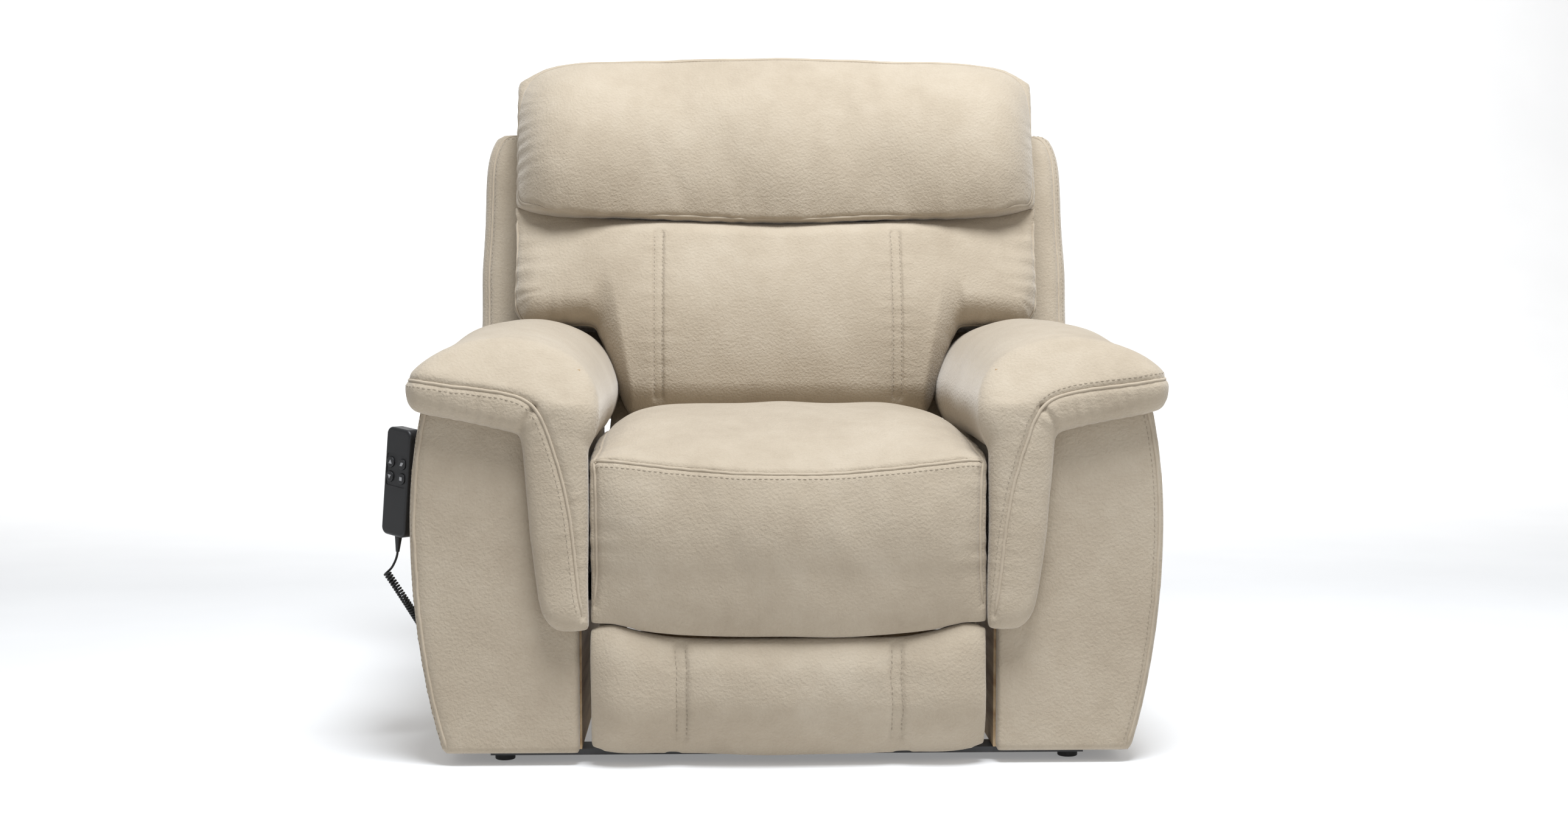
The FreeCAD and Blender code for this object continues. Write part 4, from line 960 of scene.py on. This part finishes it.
def patch(sign, *corners):
    # Points between four corners; a sign of -1 turns them over to the chair's right
    u, v = np.meshgrid(np.linspace(0, 1, 25), np.linspace(0, 1, 25), indexing="ij")
    a, b, c, d = (np.array(k, float) * (sign, 1, 1) for k in corners)
    u, v = u[..., None], v[..., None]
    return a * (1 - u) * (1 - v) + b * u * (1 - v) + c * u * v + d * (1 - u) * v


def armOutline(z):
    # Outer edge of the arm's ends: two arcs that meet at the fullest height
    fullX, fullZ, lowArc, highArc = 511, 330, 1187.0, 767.0
    rise = np.where(z < fullZ, fullZ - z, z - fullZ)
    r = np.where(z < fullZ, lowArc, highArc)
    return fullX - (r - np.sqrt(r * r - rise * rise))


# Covers that close the arms inside and behind, the back's edges beside and under its cushions, and the gap
# over the footrest's outer ends
for side, sign in (("right", -1), ("left", 1)):
    inside = patch(sign, (284, -436, 258), (284, 192, 258), (284, 192, 454), (284, -436, 454))
    clothPanel(side + "ArmLining", inside, (0, 0, 0), 0.0, "chair")
    behind = patch(1, (0, 206, 19), (1, 206, 19), (1, 206, 504), (0, 206, 504))
    behind[..., 0] = sign * (287 + (armOutline(behind[..., 2]) + 1 - 287) * behind[..., 0])
    clothPanel(side + "ArmRearCover", behind, (0, 1, 0), 2.0, "chair")
    skirt = patch(sign, (225, -24, 70), (280, -10, 70), (262, -10, 235), (225, -24, 235))
    clothPanel(side + "LumbarSkirt", leanBack(skirt), (0, -1, 0), 2.0, "back")
    band = patch(sign, (418, -6, 346), (418, 38, 346), (418, 38, 634), (418, -6, 634))
    clothPanel(side + "BackBand", leanBack(band), (sign, 0, 0), 3.0, "back")
    under = patch(sign, (262, -6, 347), (418, -6, 347), (418, 38, 347), (262, 38, 347))
    clothPanel(side + "BackUnder", leanBack(under), (0, 0, -1), 1.0, "back")
    footBand = patch(sign, (222, -423.5, 184), (260, -423.5, 184), (260, -423.5, 195), (222, -423.5, 195))
    clothPanel(side + "FootrestBand", footBand, (0, 0, 0), 0.0, "footrest")
print("arms done")

# Camera at the photograph's place, a pale sweep and soft lights
cameraLook = {"lens": 50.6, "sensor": 36.0, "place": (-0.0635, -3.4205, 0.665), "down": 3.49, "turn": -1.71}
camData = bpy.data.cameras.new("camera")
camData.lens = cameraLook["lens"]
camData.sensor_width = cameraLook["sensor"]
camera = bpy.data.objects.new("camera", camData)
camera.location = cameraLook["place"]
camera.rotation_euler = (math.radians(90 - cameraLook["down"]), 0, math.radians(cameraLook["turn"]))
scene.collection.objects.link(camera)
scene.camera = camera

stageLook = {"half": 14.0, "front": -14.0, "rear": 5.0, "rise": 3.0, "height": 9.0, "glow": 0.24, "sky": 0.34}


def makeSweep():
    # Floor that turns up in a quarter circle into a wall, carried along X
    a = np.linspace(0, np.pi / 2, 17)
    rear, rise = stageLook["rear"], stageLook["rise"]
    x = np.array([-stageLook["half"], stageLook["half"]])
    y = np.r_[stageLook["front"], rear + rise * np.sin(a), rear + rise]
    z = np.r_[0.0, rise * (1 - np.cos(a)), stageLook["height"]]
    grid = np.stack(np.broadcast_arrays(x[None], y[:, None], z[:, None]), -1)
    m, ns, ls, bsdf = newMaterial("paleFloor")
    xyz = ns.new("ShaderNodeTexCoord").outputs["Object"]
    stops = [(0.3, (0.61, 0.61, 0.61)), (0.7, (0.63, 0.63, 0.63))]
    ls.new(rampNode(ns, ls, noiseNode(ns, ls, xyz, 3.0), stops), bsdf.inputs["Base Color"])
    bsdf.inputs["Roughness"].default_value = 0.9
    bsdf.inputs["Emission Color"].default_value = (1.0, 1.0, 1.0, 1.0)
    bsdf.inputs["Emission Strength"].default_value = stageLook["glow"]
    addPiece("paleSweep", grid, gridFaces(len(y), 2, False), m)


def areaLight(name, place, aim, size, power, colour=(1.0, 1.0, 1.0)):
    data = bpy.data.lights.new(name, "AREA")
    data.shape = "DISK"
    data.size = size
    data.energy = power
    data.color = colour
    light = bpy.data.objects.new(name, data)
    light.location = place
    light.rotation_euler = (Vector(aim) - Vector(place)).to_track_quat("-Z", "Y").to_euler()
    scene.collection.objects.link(light)


makeSweep()
areaLight("keyLight", (0.3, -1.35, 3.7), (0, 0, 0.5), 1.7, 203.0, (0.91, 0.95, 1.0))
areaLight("fillLight", (2.4, -2.4, 2.2), (0, 0, 0.5), 2.2, 14.0)
areaLight("wallLight", (0.0, 3.4, 4.6), (0, 8.0, 2.6), 3.0, 420.0)
world = bpy.data.worlds.new("studio")
scene.world = world
world.use_nodes = True
sky = world.node_tree.nodes["Background"]
sky.inputs["Color"].default_value = (1.0, 1.0, 1.0, 1.0)
sky.inputs["Strength"].default_value = stageLook["sky"]
scene.view_settings.view_transform = "Standard"
print("camera and lights set")
